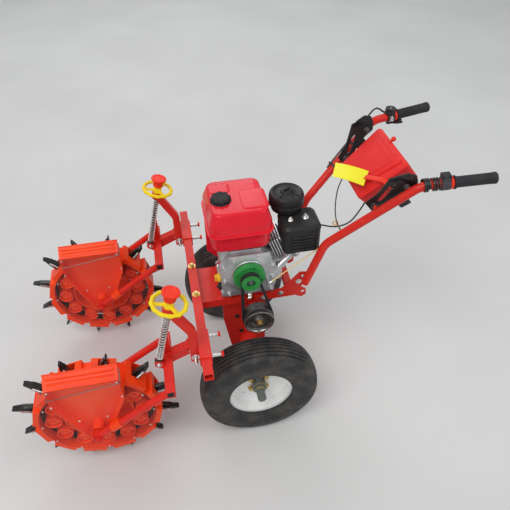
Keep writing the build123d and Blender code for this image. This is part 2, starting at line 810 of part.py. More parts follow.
# Round air cleaner and the intake under it
with BuildPart() as air_cleaner:
    with BuildSketch(Plane(origin=(AXLE_X + CLEANER_X, CLEANER_Y, 0), x_dir=(1, 0, 0), z_dir=(0, -1, 0))):
        with BuildLine():
            Polyline(
                (0, CLEANER_BASE), (CLEANER_R - 8, CLEANER_BASE),
                (CLEANER_R - 8, CLEANER_BASE + 22), (CLEANER_R, CLEANER_BASE + 24),
                (CLEANER_R, CLEANER_TOP - 18), (CLEANER_R - 6, CLEANER_TOP - 8),
                (18, CLEANER_TOP - 4), (14, CLEANER_TOP + 6), (0, CLEANER_TOP + 6),
                close=True,
            )
        make_face()
    revolve(axis=Axis((AXLE_X + CLEANER_X, CLEANER_Y, 0), (0, 0, 1)))
    with BuildSketch(level(CLEANER_BASE)):
        with Locations((CARB_X + 8, -CARB_OUT + CARB_H / 2)):
            Circle(INTAKE_R)
    extrude(amount=-(CLEANER_BASE - CARB_Z - CARB_H / 2))
save(air_cleaner, "air_cleaner")

HEAD_SIDE = FIN_HALF - 7
with BuildPart() as carburettor:
    with BuildSketch(side(-HEAD_SIDE)):
        with Locations((CARB_X, CARB_Z)):
            RectangleRounded(CARB_L, CARB_H, 6)
    extrude(amount=CARB_OUT - HEAD_SIDE)
    with BuildSketch(level(CARB_Z - CARB_H / 2)):
        with Locations((CARB_X, -(CARB_OUT + HEAD_SIDE) / 2)):
            Circle(BOWL_R)
    extrude(amount=-BOWL_H, taper=8)
    add(cylinder.part, mode=Mode.SUBTRACT)
save(carburettor, "carburettor")

# Muffler under its sheet guard, open below
MUFFLER_MID = ((MUFFLER_FRONT + MUFFLER_REAR) / 2, sum(MUFFLER_Y) / 2)
MUFFLER_L = MUFFLER_FRONT - MUFFLER_REAR
MUFFLER_W = MUFFLER_Y[1] - MUFFLER_Y[0]
with BuildPart() as muffler:
    with BuildSketch(level(MUFFLER_Z[0])):
        with Locations(MUFFLER_MID):
            RectangleRounded(MUFFLER_L, MUFFLER_W, 20)
    extrude(amount=MUFFLER_Z[1] - MUFFLER_Z[0])
    with BuildSketch(level(MUFFLER_Z[0])):
        with Locations(MUFFLER_MID):
            RectangleRounded(MUFFLER_L - 2 * MUFFLER_WALL, MUFFLER_W - 2 * MUFFLER_WALL, 17)
    extrude(amount=MUFFLER_CORE - MUFFLER_Z[0], mode=Mode.SUBTRACT)
    chamfer(muffler.faces().sort_by(Axis.Z)[-1].edges(), 8)
    with BuildSketch(side(MUFFLER_Y[1] + LOUVRE_OUT)):
        with Locations(*[(MUFFLER_MID[0], louvre_z) for louvre_z in LOUVRE_Z]):
            Rectangle(LOUVRE_L, LOUVRE_H)
    extrude(amount=LOUVRE_OUT + MUFFLER_WALL)
    with BuildSketch(along_cylinder(CYL_START)):
        Rectangle(2 * FIN_HALF, 2 * CYL_HALF + FIN_RISE)
    extrude(amount=CYL_REACH + HEAD_LEN - CYL_START, mode=Mode.SUBTRACT)
save(muffler, "muffler")

# Fan shroud with the recoil starter
with BuildPart() as shroud:
    with BuildSketch(side(-SHROUD_IN)):
        with BuildLine():
            Polyline(
                (SHROUD_REAR, ENGINE_BASE + 20), (SHROUD_REAR, 690), (-70, SHROUD_TOP),
                (SHROUD_FRONT - 20, SHROUD_TOP), (SHROUD_FRONT, SHROUD_TOP - 20),
                (SHROUD_FRONT, 520), (80, ENGINE_BASE + 8), (-90, ENGINE_BASE + 8), close=True,
            )
        make_face()
    extrude(amount=SHROUD_OUT - SHROUD_IN, taper=8)
    with BuildSketch(side(-SHROUD_OUT)):
        with Locations((CRANK_X, CRANK_Z)):
            Circle(RECOIL_R)
    extrude(amount=RECOIL_OUT - SHROUD_OUT, taper=10)
    with BuildSketch(side(-CRANKCASE_HALF)):
        with Locations((CRANK_X, CRANK_Z)):
            Circle(80)
    extrude(amount=SHROUD_IN - CRANKCASE_HALF)
save(shroud, "shroud")

# Centrifugal clutch with its belt groove
GROOVE_LOW = BELT_Y - BELT_W / 2
GROOVE_HIGH = BELT_Y + BELT_W / 2
CLUTCH_BACK = CRANKCASE_HALF + SIDE_COVER + 8
with BuildPart() as clutch:
    with BuildSketch(front(CRANK_X)):
        with BuildLine():
            Polyline(
                (CLUTCH_BACK, CRANK_Z), (CLUTCH_BACK, CRANK_Z + CLUTCH_R - 4),
                (CLUTCH_BACK + 4, CRANK_Z + CLUTCH_R), (120, CRANK_Z + CLUTCH_R),
                (124, CRANK_Z + CLUTCH_R - 6), (124, CRANK_Z + CLUTCH_PULLEY_R),
                (GROOVE_LOW - 3, CRANK_Z + CLUTCH_PULLEY_R), (GROOVE_LOW, CRANK_Z + BELT_SEAT_TOP),
                (GROOVE_HIGH, CRANK_Z + BELT_SEAT_TOP), (GROOVE_HIGH + 3, CRANK_Z + CLUTCH_PULLEY_R),
                (CLUTCH_FACE_Y, CRANK_Z + CLUTCH_PULLEY_R), (CLUTCH_FACE_Y, CRANK_Z + 15),
                (CLUTCH_FACE_Y - 12, CRANK_Z + 15), (CLUTCH_FACE_Y - 12, CRANK_Z), close=True,
            )
        make_face()
    revolve(axis=across(CRANK_X, CRANK_Z))
    with BuildSketch(side(124)):
        with Locations((CRANK_X, CRANK_Z)):
            with PolarLocations(CLUTCH_HOLE_AT, 4, start_angle=20):
                Circle(CLUTCH_HOLE_R)
    extrude(amount=6, mode=Mode.SUBTRACT)
save(clutch, "clutch")

# Driven pulley on the gear case's input shaft
with BuildPart() as driven_pulley:
    with BuildSketch(front(PULLEY_X)):
        with BuildLine():
            Polyline(
                (PULLEY_BOSS_Y, PULLEY_Z), (PULLEY_BOSS_Y, PULLEY_Z + 24),
                (118, PULLEY_Z + 24), (118, PULLEY_Z + PULLEY_R),
                (GROOVE_LOW - 3, PULLEY_Z + PULLEY_R), (GROOVE_LOW, PULLEY_Z + BELT_SEAT_LOW),
                (GROOVE_HIGH, PULLEY_Z + BELT_SEAT_LOW), (GROOVE_HIGH + 3, PULLEY_Z + PULLEY_R),
                (SPARE_GROOVE[0] - 2, PULLEY_Z + PULLEY_R), (SPARE_GROOVE[0], PULLEY_Z + BELT_SEAT_LOW),
                (SPARE_GROOVE[1], PULLEY_Z + BELT_SEAT_LOW), (SPARE_GROOVE[1] + 2, PULLEY_Z + PULLEY_R),
                (PULLEY_FACE_Y, PULLEY_Z + PULLEY_R), (PULLEY_FACE_Y, PULLEY_Z + 42),
                (PULLEY_FACE_Y - 10, PULLEY_Z + 38), (PULLEY_FACE_Y - 10, PULLEY_Z + 20),
                (PULLEY_FACE_Y, PULLEY_Z + 16), (PULLEY_FACE_Y, PULLEY_Z), close=True,
            )
        make_face()
    revolve(axis=across(PULLEY_X, PULLEY_Z))
save(driven_pulley, "driven_pulley")

# Belt round the two pulleys
with BuildPart() as v_belt:
    with BuildSketch(side(GROOVE_HIGH)):
        with Locations((CRANK_X, CRANK_Z)):
            Circle(BELT_SEAT_TOP + BELT_T)
        with Locations((PULLEY_X, PULLEY_Z)):
            Circle(BELT_SEAT_LOW + BELT_T)
        make_hull()
    extrude(amount=BELT_W)
    with BuildSketch(side(GROOVE_HIGH)):
        with Locations((CRANK_X, CRANK_Z)):
            Circle(BELT_SEAT_TOP)
        with Locations((PULLEY_X, PULLEY_Z)):
            Circle(BELT_SEAT_LOW)
        make_hull()
    extrude(amount=BELT_W, mode=Mode.SUBTRACT)
save(v_belt, "v_belt")

# Row units, the same hand on both sides of the machine
screw_up = Vector(-sin(radians(SCREW_TILT)), 0, cos(radians(SCREW_TILT)))
screw_out = Vector(cos(radians(SCREW_TILT)), 0, sin(radians(SCREW_TILT)))


def screw_plane(y, rise=0.0):
    """A plane square to the depth screw, a rise along it from the eye."""
    start = Vector(AXLE_X + EYE_X, y, EYE_Z) + screw_up * rise
    return Plane(origin=start, x_dir=screw_out, z_dir=screw_up)


def screw_profile(y):
    """The plane that holds the screw, with x out from it and y along it from the eye."""
    return Plane(origin=(AXLE_X + EYE_X, y, EYE_Z), x_dir=screw_out, z_dir=(0, -1, 0))


def hopper_block(open_y, depth, inset=0.0, lid=0.0):
    """The hopper's outline as a solid under its slope, inset all round and lowered by the lid."""
    slope_end = HOPPER_TOP - HOPPER_DROP - lid
    with BuildPart() as block:
        with BuildSketch(side(open_y)):
            with Locations((DRUM_X, (HOPPER_TOP + HOPPER_STRAIGHT) / 2)):
                Rectangle(2 * (HOPPER_HALF - inset), HOPPER_TOP - HOPPER_STRAIGHT)
            with Locations((DRUM_X, DRUM_REST_H)):
                Circle(HOPPER_END_R - inset)
            make_hull()
        extrude(amount=depth)
        with BuildSketch(front(DRUM_X - HOPPER_HALF)):
            with BuildLine():
                Polyline(
                    (open_y - HOPPER_OUT + HOPPER_IN, HOPPER_TOP - lid), (open_y, slope_end),
                    (open_y, HOPPER_TOP + HOPPER_DROP),
                    (open_y - HOPPER_OUT + HOPPER_IN, HOPPER_TOP + HOPPER_DROP), close=True,
                )
            make_face()
        extrude(amount=2 * HOPPER_HALF, mode=Mode.SUBTRACT)
    return block.part


for unit, unit_y in (("left", UNIT_Y), ("right", -UNIT_Y)):
    screw_y = unit_y + GOOSE_Y
    screw_axis = Axis((AXLE_X + EYE_X, screw_y, EYE_Z), screw_up)
    boss_x = EYE_X + screw_up.X * (BOSS_LOW + BOSS_HIGH) / 2
    boss_z = EYE_Z + screw_up.Z * (BOSS_LOW + BOSS_HIGH) / 2

    # Collar on the toolbar with set bolts, pivot ears and the gooseneck
    with BuildPart() as clamp:
        with BuildSketch(side(unit_y + COLLAR_LEFT)):
            with Locations((BAR_X, BAR_Z)):
                Rectangle(COLLAR, COLLAR)
                Rectangle(BAR + 2 * COLLAR_GAP, BAR + 2 * COLLAR_GAP, mode=Mode.SUBTRACT)
        extrude(amount=COLLAR_LEFT - COLLAR_RIGHT)
        with BuildSketch(front(BAR_X - COLLAR / 2)):
            with Locations((unit_y - SET_BOLT_Y, BAR_Z), (unit_y + SET_BOLT_Y, BAR_Z)):
                Circle(SET_BOLT_R)
        extrude(amount=-SET_BOLT_LEN)
        with BuildSketch(front(BAR_X - COLLAR / 2 - SET_BOLT_LEN)):
            with Locations((unit_y - SET_BOLT_Y, BAR_Z), (unit_y + SET_BOLT_Y, BAR_Z)):
                RegularPolygon(SET_BOLT_HEAD, 6)
        extrude(amount=-7)
        for ear_y in (
            unit_y + ARM_Y + ARM_BOX / 2 + EAR_GAP + EAR_T,
            unit_y + ARM_Y - ARM_BOX / 2 - EAR_GAP,
        ):
            with BuildSketch(side(ear_y)):
                with Locations((PIVOT_X, PIVOT_Z)):
                    Circle(EAR_R)
                with Locations((COLLAR_FRONT + 2, BAR_Z)):
                    Rectangle(4, COLLAR)
                make_hull()
            extrude(amount=EAR_T)
        with BuildSketch(side(unit_y + ARM_Y + ARM_BOX / 2 + EAR_GAP + EAR_T)):
            with Locations((PIVOT_X, PIVOT_Z)):
                Circle(PIVOT_R)
        extrude(amount=ARM_BOX + 2 * (EAR_GAP + EAR_T))
        with BuildLine():
            FilletPolyline(
                (AXLE_X + GOOSE_X, screw_y, GOOSE_FOOT),
                (AXLE_X + GOOSE_X, screw_y, GOOSE_BEND),
                (AXLE_X + boss_x, screw_y, boss_z),
                radius=40,
            )
        with BuildSketch(Plane(origin=(AXLE_X + GOOSE_X, screw_y, GOOSE_FOOT))):
            RectangleRounded(GOOSE_BOX, GOOSE_BOX, 4)
        sweep()
        with BuildSketch(screw_plane(screw_y, BOSS_LOW)):
            Circle(BOSS_R)
        extrude(amount=BOSS_HIGH - BOSS_LOW)
        with BuildSketch(screw_plane(screw_y, BOSS_LOW - 20)):
            Circle(SCREW_R + SCREW_CLEAR)
        extrude(amount=BOSS_HIGH - BOSS_LOW + 40, mode=Mode.SUBTRACT)
        with BuildSketch(screw_plane(screw_y, BOSS_LOW)):
            Circle(SPRING_R + SCREW_CLEAR)
        extrude(amount=-SPRING_POCKET, mode=Mode.SUBTRACT)
    save(clamp, f"clamp_{unit}")

    with BuildPart() as handwheel:
        with BuildSketch(screw_profile(screw_y)):
            with Locations((WHEEL_RING_R, WHEEL_AT)):
                RegularPolygon(WHEEL_WIRE_R, 8)
        revolve(axis=screw_axis)
        with BuildSketch(screw_plane(screw_y, WHEEL_AT - 5)):
            with PolarLocations(WHEEL_RING_R + 1.5, WHEEL_WAVES):
                RegularPolygon(WAVE_R, 6)
        extrude(amount=10)
        with BuildSketch(screw_plane(screw_y, WHEEL_AT - 4)):
            with PolarLocations(WHEEL_RING_R / 2, 3, start_angle=30):
                Rectangle(WHEEL_RING_R, 12)
        extrude(amount=8)
        with BuildSketch(screw_plane(screw_y, BOSS_HIGH + 0.3)):
            Circle(WHEEL_HUB_R)
        extrude(amount=WHEEL_HUB_H)
        with BuildSketch(screw_plane(screw_y, BOSS_HIGH)):
            Circle(SCREW_R + SCREW_CLEAR)
        extrude(amount=WHEEL_HUB_H + 1, mode=Mode.SUBTRACT)
    save(handwheel, f"handwheel_{unit}")

    with BuildPart() as screw:
        with BuildSketch(side(screw_y + EYE_W / 2)):
            with Locations((EYE_X, EYE_Z)):
                Circle(EYE_R)
                Circle(EYE_PIN_R + PIN_CLEAR, mode=Mode.SUBTRACT)
        extrude(amount=EYE_W)
        with BuildSketch(screw_plane(screw_y, (EYE_R + EYE_PIN_R) / 2)):
            Circle(SCREW_R)
        extrude(amount=SCREW_LEN - 12 - (EYE_R + EYE_PIN_R) / 2)
        with BuildSketch(screw_plane(screw_y, SPRING_SEAT - 4)):
            Circle(SPRING_R)
        extrude(amount=4)
        with BuildSketch(screw_profile(screw_y)):
            with BuildLine():
                Polyline(
                    (0, CAP_LOW), (STEM_R, CAP_LOW), (STEM_R, SCREW_LEN - 14),
                    (FLARE_R, SCREW_LEN - 8), (FLARE_R, SCREW_LEN - 2), (FLARE_R - 6, SCREW_LEN),
                    (0, SCREW_LEN), close=True,
                )
            make_face()
        revolve(axis=screw_axis)
    save(screw, f"screw_{unit}")

    spring_pitch = (BOSS_LOW - SPRING_SEAT - 0.6) / SPRING_TURNS
    with BuildPart() as spring:
        with BuildSketch(screw_profile(screw_y)):
            with BuildLine():
                inner = SPRING_R - SPRING_WIRE
                ridge = [(inner, SPRING_SEAT + 0.3), (SPRING_R - 1.5, SPRING_SEAT + 0.3)]
                for turn in range(SPRING_TURNS):
                    base = SPRING_SEAT + 0.3 + turn * spring_pitch
                    ridge.append((SPRING_R, base + spring_pitch / 2))
                    ridge.append((SPRING_R - 1.5, base + spring_pitch))
                ridge.append((inner, BOSS_LOW - 0.3))
                Polyline(*ridge, close=True)
            make_face()
        revolve(axis=screw_axis)
    save(spring, f"spring_{unit}")

    # Swing arm and crossbar, with the screw's lug and an upright fin
    with BuildPart() as swing_frame:
        with BuildSketch(side(unit_y + ARM_Y + ARM_BOX / 2)):
            with Locations((PIVOT_X, PIVOT_Z)):
                Circle(ARM_BOX / 2)
            with Locations((CROSS_X - 5, CROSS_Z)):
                Rectangle(CROSS_BOX - 10, CROSS_BOX)
            make_hull()
            with Locations((PIVOT_X, PIVOT_Z)):
                Circle(PIVOT_R + PIN_CLEAR, mode=Mode.SUBTRACT)
        extrude(amount=ARM_BOX)
        with BuildSketch(side(unit_y + FORK_Y + FORK_R)):
            with Locations((CROSS_X, CROSS_Z)):
                RectangleRounded(CROSS_BOX, CROSS_BOX, 3)
        extrude(amount=2 * (FORK_Y + FORK_R))
        for lug_y in (screw_y + EYE_W / 2 + EAR_GAP + 5, screw_y - EYE_W / 2 - EAR_GAP):
            with BuildSketch(side(lug_y)):
                with Locations((EYE_X, EYE_Z)):
                    Circle(EYE_R)
                with Locations((CROSS_X + 8, CROSS_Z + 8)):
                    Rectangle(12, 12)
                make_hull()
            extrude(amount=5)
        with BuildSketch(side(screw_y + EYE_W / 2 + EAR_GAP + 5)):
            with Locations((EYE_X, EYE_Z)):
                Circle(EYE_PIN_R)
        extrude(amount=EYE_W + 2 * (EAR_GAP + 5))
        with BuildSketch(side(unit_y + ARM_Y + FIN_PLATE / 2)):
            with BuildLine():
                Polyline(
                    (CROSS_X - 14, CROSS_Z), (CROSS_X + 12, CROSS_Z), (CROSS_X + 6, FIN_TOP - 20),
                    (CROSS_X - 4, FIN_TOP), (CROSS_X - 12, FIN_TOP - 12), close=True,
                )
            make_face()
        extrude(amount=FIN_PLATE)
    save(swing_frame, f"swing_frame_{unit}")

    # Fork arms with the drum axle between them
    fork_way = Vector(DRUM_X - CROSS_X, 0, DRUM_REST_H - CROSS_Z).normalized()
    fork_len = hypot(DRUM_X - CROSS_X, DRUM_REST_H - CROSS_Z)
    with BuildPart() as fork:
        for arm_y in (unit_y + FORK_Y, unit_y - FORK_Y):
            arm_start = Vector(AXLE_X + CROSS_X, arm_y, CROSS_Z)
            with BuildSketch(Plane(origin=arm_start, z_dir=fork_way)):
                Circle(FORK_R)
            extrude(amount=fork_len)
            with BuildSketch(side(arm_y + FORK_R)):
                with Locations((DRUM_X, DRUM_REST_H)):
                    Circle(FORK_EYE_R)
            extrude(amount=2 * FORK_R)
        with BuildSketch(side(unit_y + FORK_Y + FORK_R + 12)):
            with Locations((DRUM_X, DRUM_REST_H)):
                Circle(AXLE_R)
        extrude(amount=2 * (FORK_Y + FORK_R + 12))
        add(swing_frame.part, mode=Mode.SUBTRACT)
    save(fork, f"fork_{unit}")

    # Seed hopper beside the drum, under a sloping lid panel and open towards its window
    hopper_outer = hopper_block(unit_y + HOPPER_OUT, HOPPER_OUT - HOPPER_IN)
    hopper_inner = hopper_block(
        unit_y + HOPPER_OUT, HOPPER_OUT - HOPPER_IN - HOPPER_WALL, HOPPER_WALL, HOPPER_LID,
    )
    with BuildPart() as hopper:
        add(hopper_outer)
        add(hopper_inner, mode=Mode.SUBTRACT)
        with BuildSketch(side(unit_y + HOPPER_OUT)):
            with Locations((DRUM_X, DRUM_REST_H)):
                Circle(HOPPER_BOSS_R)
        extrude(amount=HOPPER_OUT - HOPPER_IN)
        with BuildSketch(side(unit_y + HOPPER_OUT)):
            with Locations((DRUM_X, DRUM_REST_H)):
                Circle(AXLE_R + AXLE_CLEAR)
        extrude(amount=HOPPER_OUT - HOPPER_IN, mode=Mode.SUBTRACT)
        lid_plane = Plane(
            origin=(AXLE_X + DRUM_X, unit_y + (HOPPER_IN + HOPPER_OUT) / 2, HOPPER_TOP - HOPPER_DROP / 2),
            x_dir=(1, 0, 0),
            z_dir=(0, HOPPER_DROP, HOPPER_OUT - HOPPER_IN),
        )
        with BuildSketch(lid_plane):
            with Locations(*[(0, rib) for rib in LID_RIBS]):
                Rectangle(2 * HOPPER_HALF - 24, LID_RIB_W)
        extrude(amount=LID_RIB_H)
    save(hopper, f"hopper_{unit}")

    window_top = HOPPER_TOP - HOPPER_DROP
    with BuildPart() as hopper_window:
        with BuildSketch(side(unit_y + HOPPER_OUT + WINDOW_T)):
            with Locations((DRUM_X, (window_top + HOPPER_STRAIGHT) / 2)):
                Rectangle(2 * HOPPER_HALF, window_top - HOPPER_STRAIGHT)
            with Locations((DRUM_X, DRUM_REST_H)):
                Circle(HOPPER_END_R)
            make_hull()
            with Locations((DRUM_X, DRUM_REST_H)):
                Circle(AXLE_R + AXLE_CLEAR, mode=Mode.SUBTRACT)
        extrude(amount=WINDOW_T)
    save(hopper_window, f"hopper_window_{unit}")

    # Drum shell: far wall, slotted band, beak holders, seed cups and hub
    with BuildPart() as drum_shell:
        with BuildSketch(side(unit_y + SHELL_HALF)):
            with Locations((DRUM_X, DRUM_REST_H)):
                Circle(BAND_OUT)
                with PolarLocations((HOLDER_IN + HOLDER_OUT) / 2, BEAK_COUNT, start_angle=BEAK_STEP / 2):
                    Rectangle(HOLDER_OUT - HOLDER_IN, HOLDER_L)
        extrude(amount=2 * SHELL_HALF)
        with BuildSketch(side(unit_y + SHELL_HALF)):
            with Locations((DRUM_X, DRUM_REST_H)):
                Circle(BAND_OUT - BAND_WALL)
        extrude(amount=2 * SHELL_HALF - SHELL_WALL, mode=Mode.SUBTRACT)
        with BuildSketch(side(unit_y - SHELL_HALF + SHELL_WALL)):
            with Locations((DRUM_X, DRUM_REST_H)):
                Circle(DRUM_HUB_R)
                with PolarLocations(CUP_AT, BEAK_COUNT):
                    Circle(CUP_R)
        extrude(amount=-(SHELL_HALF + CUP_TOP - SHELL_WALL))
        with BuildSketch(side(unit_y + CUP_TOP)):
            with Locations((DRUM_X, DRUM_REST_H)):
                with PolarLocations(CUP_AT, BEAK_COUNT):
                    Circle(CUP_R - CUP_WALL)
        extrude(amount=30, mode=Mode.SUBTRACT)
        with BuildSketch(side(unit_y + SLOT_W / 2)):
            with Locations((DRUM_X, DRUM_REST_H)):
                with PolarLocations(BAND_OUT, BEAK_COUNT, start_angle=BEAK_STEP / 2):
                    Rectangle(30, SLOT_L)
        extrude(amount=SHELL_HALF + SLOT_W / 2 - SHELL_WALL, mode=Mode.SUBTRACT)
        with BuildSketch(side(unit_y + SHELL_HALF)):
            with Locations((DRUM_X, DRUM_REST_H)):
                Circle(AXLE_R + AXLE_CLEAR)
        extrude(amount=2 * SHELL_HALF, mode=Mode.SUBTRACT)
    save(drum_shell, f"drum_shell_{unit}")

    with BuildPart() as drum_cover:
        with BuildSketch(side(unit_y + SHELL_HALF + COVER_T)):
            with Locations((DRUM_X, DRUM_REST_H)):
                Circle(BAND_OUT - 1)
                Circle(AXLE_R + AXLE_CLEAR, mode=Mode.SUBTRACT)
        extrude(amount=COVER_T)
    save(drum_cover, f"drum_cover_{unit}")

    # Beaks: a fixed jaw folded as a channel, and a moving jaw pinned inside it under two coils
    with BuildPart() as drum_beaks:
        with BuildSketch(side(unit_y + BEAK_W / 2)):
            with Locations((DRUM_X, DRUM_REST_H)):
                with PolarLocations(0, BEAK_COUNT, start_angle=BEAK_STEP / 2):
                    Polygon(
                        (BEAK_RING_IN + 2, -4), (BEAK_RING_IN + 2, 15), (236, 11),
                        (BEAK_TIP_R - 4, 4.5), (BEAK_TIP_R, 0), (BEAK_TIP_R - 8, -2), (224, -4), align=None,
                    )
        extrude(amount=BEAK_W)
        with BuildSketch(side(unit_y + BEAK_W / 2 - BEAK_WALL)):
            with Locations((DRUM_X, DRUM_REST_H)):
                with PolarLocations(0, BEAK_COUNT, start_angle=BEAK_STEP / 2):
                    Polygon(
                        (BEAK_RING_IN, -5), (BEAK_RING_IN, 15 - BEAK_WALL), (236, 11 - BEAK_WALL),
                        (BEAK_TIP_R - 9, 2), (BEAK_TIP_R - 12, -5), align=None,
                    )
        extrude(amount=BEAK_W - 2 * BEAK_WALL, mode=Mode.SUBTRACT)
        with BuildSketch(side(unit_y + JAW_W / 2)):
            with Locations((DRUM_X, DRUM_REST_H)):
                with PolarLocations(0, BEAK_COUNT, start_angle=BEAK_STEP / 2):
                    Polygon(
                        (BEAK_RING_IN + 2, 3), (214, 2), (BEAK_TIP_R - 12, -1), (BEAK_TIP_R - 18, -6),
                        (228, -12), (198, -15), (BEAK_RING_IN + 2, -12), align=None,
                    )
        extrude(amount=JAW_W)
        with BuildSketch(side(unit_y + BEAK_W / 2 + JAW_COIL_W)):
            with Locations((DRUM_X, DRUM_REST_H)):
                with PolarLocations(JAW_PIN_AT, BEAK_COUNT, start_angle=BEAK_STEP / 2):
                    Circle(JAW_PIN_R)
        extrude(amount=BEAK_W + 2 * JAW_COIL_W)
        for coil_y in (unit_y + BEAK_W / 2 + JAW_COIL_W - 1, unit_y - BEAK_W / 2):
            with BuildSketch(side(coil_y)):
                with Locations((DRUM_X, DRUM_REST_H)):
                    with PolarLocations(JAW_PIN_AT, BEAK_COUNT, start_angle=BEAK_STEP / 2):
                        RegularPolygon(JAW_COIL_R, 8)
            extrude(amount=JAW_COIL_W - 1)
        with BuildSketch(side(unit_y + BEAK_W / 2)):
            with Locations((DRUM_X, DRUM_REST_H)):
                Circle(BAND_OUT - BAND_WALL)
                Circle(BEAK_RING_IN, mode=Mode.SUBTRACT)
        extrude(amount=BEAK_W)
    save(drum_beaks, f"drum_beaks_{unit}")

# Cables as plain tubes of straight runs and tangent arcs
for cable_name, cable_r, cable_points in (
    ("throttle_cable", THROTTLE_CABLE_R, placed(THROTTLE_ROUTE)),
    ("clutch_cable", CLUTCH_CABLE_R, placed(CLUTCH_ROUTE)),
):
    cable_bends = bend_radii(cable_points)
    print(cable_name, "radii", [round(r) for r in cable_bends])
    with BuildPart() as cable:
        with BuildLine() as cable_line:
            FilletPolyline(*cable_points, radius=cable_bends)
        with BuildSketch(Plane(origin=cable_line.line @ 0, z_dir=cable_line.line % 0)):
            Circle(cable_r)
        sweep()
    print(cable_name, "length", round(sum(e.length for e in cable_line.edges()), 1))
    save(cable, cable_name)
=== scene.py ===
"""Looks of a two-row seeder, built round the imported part.

Sizes are millimetres: x ahead of the wheel axle, y to the left and z above the floor, as in the
part's own drawing. piece() turns them into metres of the part's frame.
"""

import math

import bmesh
import bpy
import numpy as np
from mathutils import Matrix, Vector


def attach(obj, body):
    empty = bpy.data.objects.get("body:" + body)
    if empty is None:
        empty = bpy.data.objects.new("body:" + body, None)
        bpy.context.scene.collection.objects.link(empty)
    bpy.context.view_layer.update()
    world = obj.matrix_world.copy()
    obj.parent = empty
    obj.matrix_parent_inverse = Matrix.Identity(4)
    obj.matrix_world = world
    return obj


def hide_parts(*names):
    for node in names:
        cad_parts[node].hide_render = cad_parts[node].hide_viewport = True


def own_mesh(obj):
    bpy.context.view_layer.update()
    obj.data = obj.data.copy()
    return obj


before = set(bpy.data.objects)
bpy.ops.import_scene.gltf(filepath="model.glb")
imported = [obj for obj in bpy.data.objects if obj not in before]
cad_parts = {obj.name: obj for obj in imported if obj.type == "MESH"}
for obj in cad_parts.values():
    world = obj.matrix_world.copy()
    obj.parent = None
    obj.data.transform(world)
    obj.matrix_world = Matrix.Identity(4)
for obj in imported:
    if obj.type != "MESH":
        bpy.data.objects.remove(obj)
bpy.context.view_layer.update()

MM = 0.001
AXLE_X = -46.502
AHEAD, LEFT, UP = np.eye(3)
SIDES = (("left", 1), ("right", -1))

# Camera of the photograph, its place in the drawing's millimetres and its angles in radians
CAMERA_AT = (204.7, 1321.7, 1775.1)
CAMERA_YAW = -0.18546
CAMERA_PITCH = 0.73016
CAMERA_ROLL = -0.01290
CAMERA_FOCUS = 523.38
PHOTO_SIDE = 510
SENSOR = 36

# Wheels
TYRE_R, WHEEL_Y, TYRE_HALF, BOLT_CIRCLE = 207.5, 272, 44, 37
GROOVES, GROOVE_HALF, GROOVE_DEPTH = (-34, -20.5, -7, 7, 20.5, 34), 2.9, 5
FLANK_MID, FLANK_REACH, RING_TALL = 156, 46, 0.49

# Row units, with the reaches of a depth screw's pieces from its eye
UNIT_Y, DRUM_X, DRUM_Z = 285, 539, 255
GOOSE_Y, CROSS_X, CROSS_Z = 8, 293, 424
EYE = np.array((319, 0, 450))
SCREW_TOP = np.array((247, 0, 747))
SCREW_LEN = float(np.linalg.norm(SCREW_TOP - EYE))
SCREW_WAY = (SCREW_TOP - EYE) / SCREW_LEN
SCREW_R, THREAD_STEP, THREAD_DEPTH = 4.9, 1.6, 0.5
SPRING_SEAT, BOSS_LOW, BOSS_HIGH, WHEEL_AT, CAP_LOW = 17, 222, 246, 258, 274
SPRING_R, SPRING_WIRE, SPRING_TURNS = 9.3, 1.9, 21
RIM_R, RIM_WIDE, RIM_TALL, RIM_WAVES = 48.4, 6.6, 5.6, 12
BEAKS, CUP_CIRCLE, SCREW_CIRCLE, BEAK_CIRCLE = 12, 143, 176, 203

# Engine
CRANK = np.array((-2, 0, 585))
TILT = math.radians(20)
CYLINDER_WAY = np.array((-math.cos(TILT), 0, math.sin(TILT)))
FIRST_FIN, FIN_PITCH, FIN_T = 100, 9, 3.5
PULLEY = np.array((-25, 0, 410))
STARTER = CRANK + (0, -192, 0)

# Handlebars and console
HANDLE = np.array((
    (-196, 104.8, 508), (-248, 120, 685), (-490, 198, 927), (-695, 224.5, 943)))
GRIP_START, GRIP_END = HANDLE[2:]
GRIP_LEN, GRIP_RIB, CONTROL_GAP = 118, 3.76, 12
CONSOLE_MID = np.array((-416.5, 0, 889.5))

# Cables, the same points as in the part's source
THROTTLE_R, THROTTLE_LEN = 2.5, 343.1
THROTTLE_ROUTE = [
    (-431.8, -20.0, 782.5), (-438.0, -21.0, 755.0), (-428.0, -20.0, 722.0),
    (-405.0, -12.0, 688.0), (-374.0, 0.0, 658.0), (-329.0, -8.0, 640.0),
    (-283.0, -30.0, 641.0), (-240.0, -52.0, 646.0), (-194.0, -66.0, 650.0),
]
CLUTCH_CABLE_R, CLUTCH_LEN = 2.0, 531.2
CLUTCH_ROUTE = [
    (-354.5, -60.0, 807.0), (-341.0, -57.0, 780.0), (-334.0, -50.0, 735.0),
    (-331.0, -38.0, 690.0), (-331.0, -14.0, 660.0), (-337.0, 20.0, 647.0),
    (-328.0, 54.0, 653.0), (-296.0, 79.0, 663.0), (-258.0, 90.0, 661.0),
    (-67.6, 127.2, 555.2),
]
SHEATH_END, CABLE_STOP = CLUTCH_ROUTE[-2:]

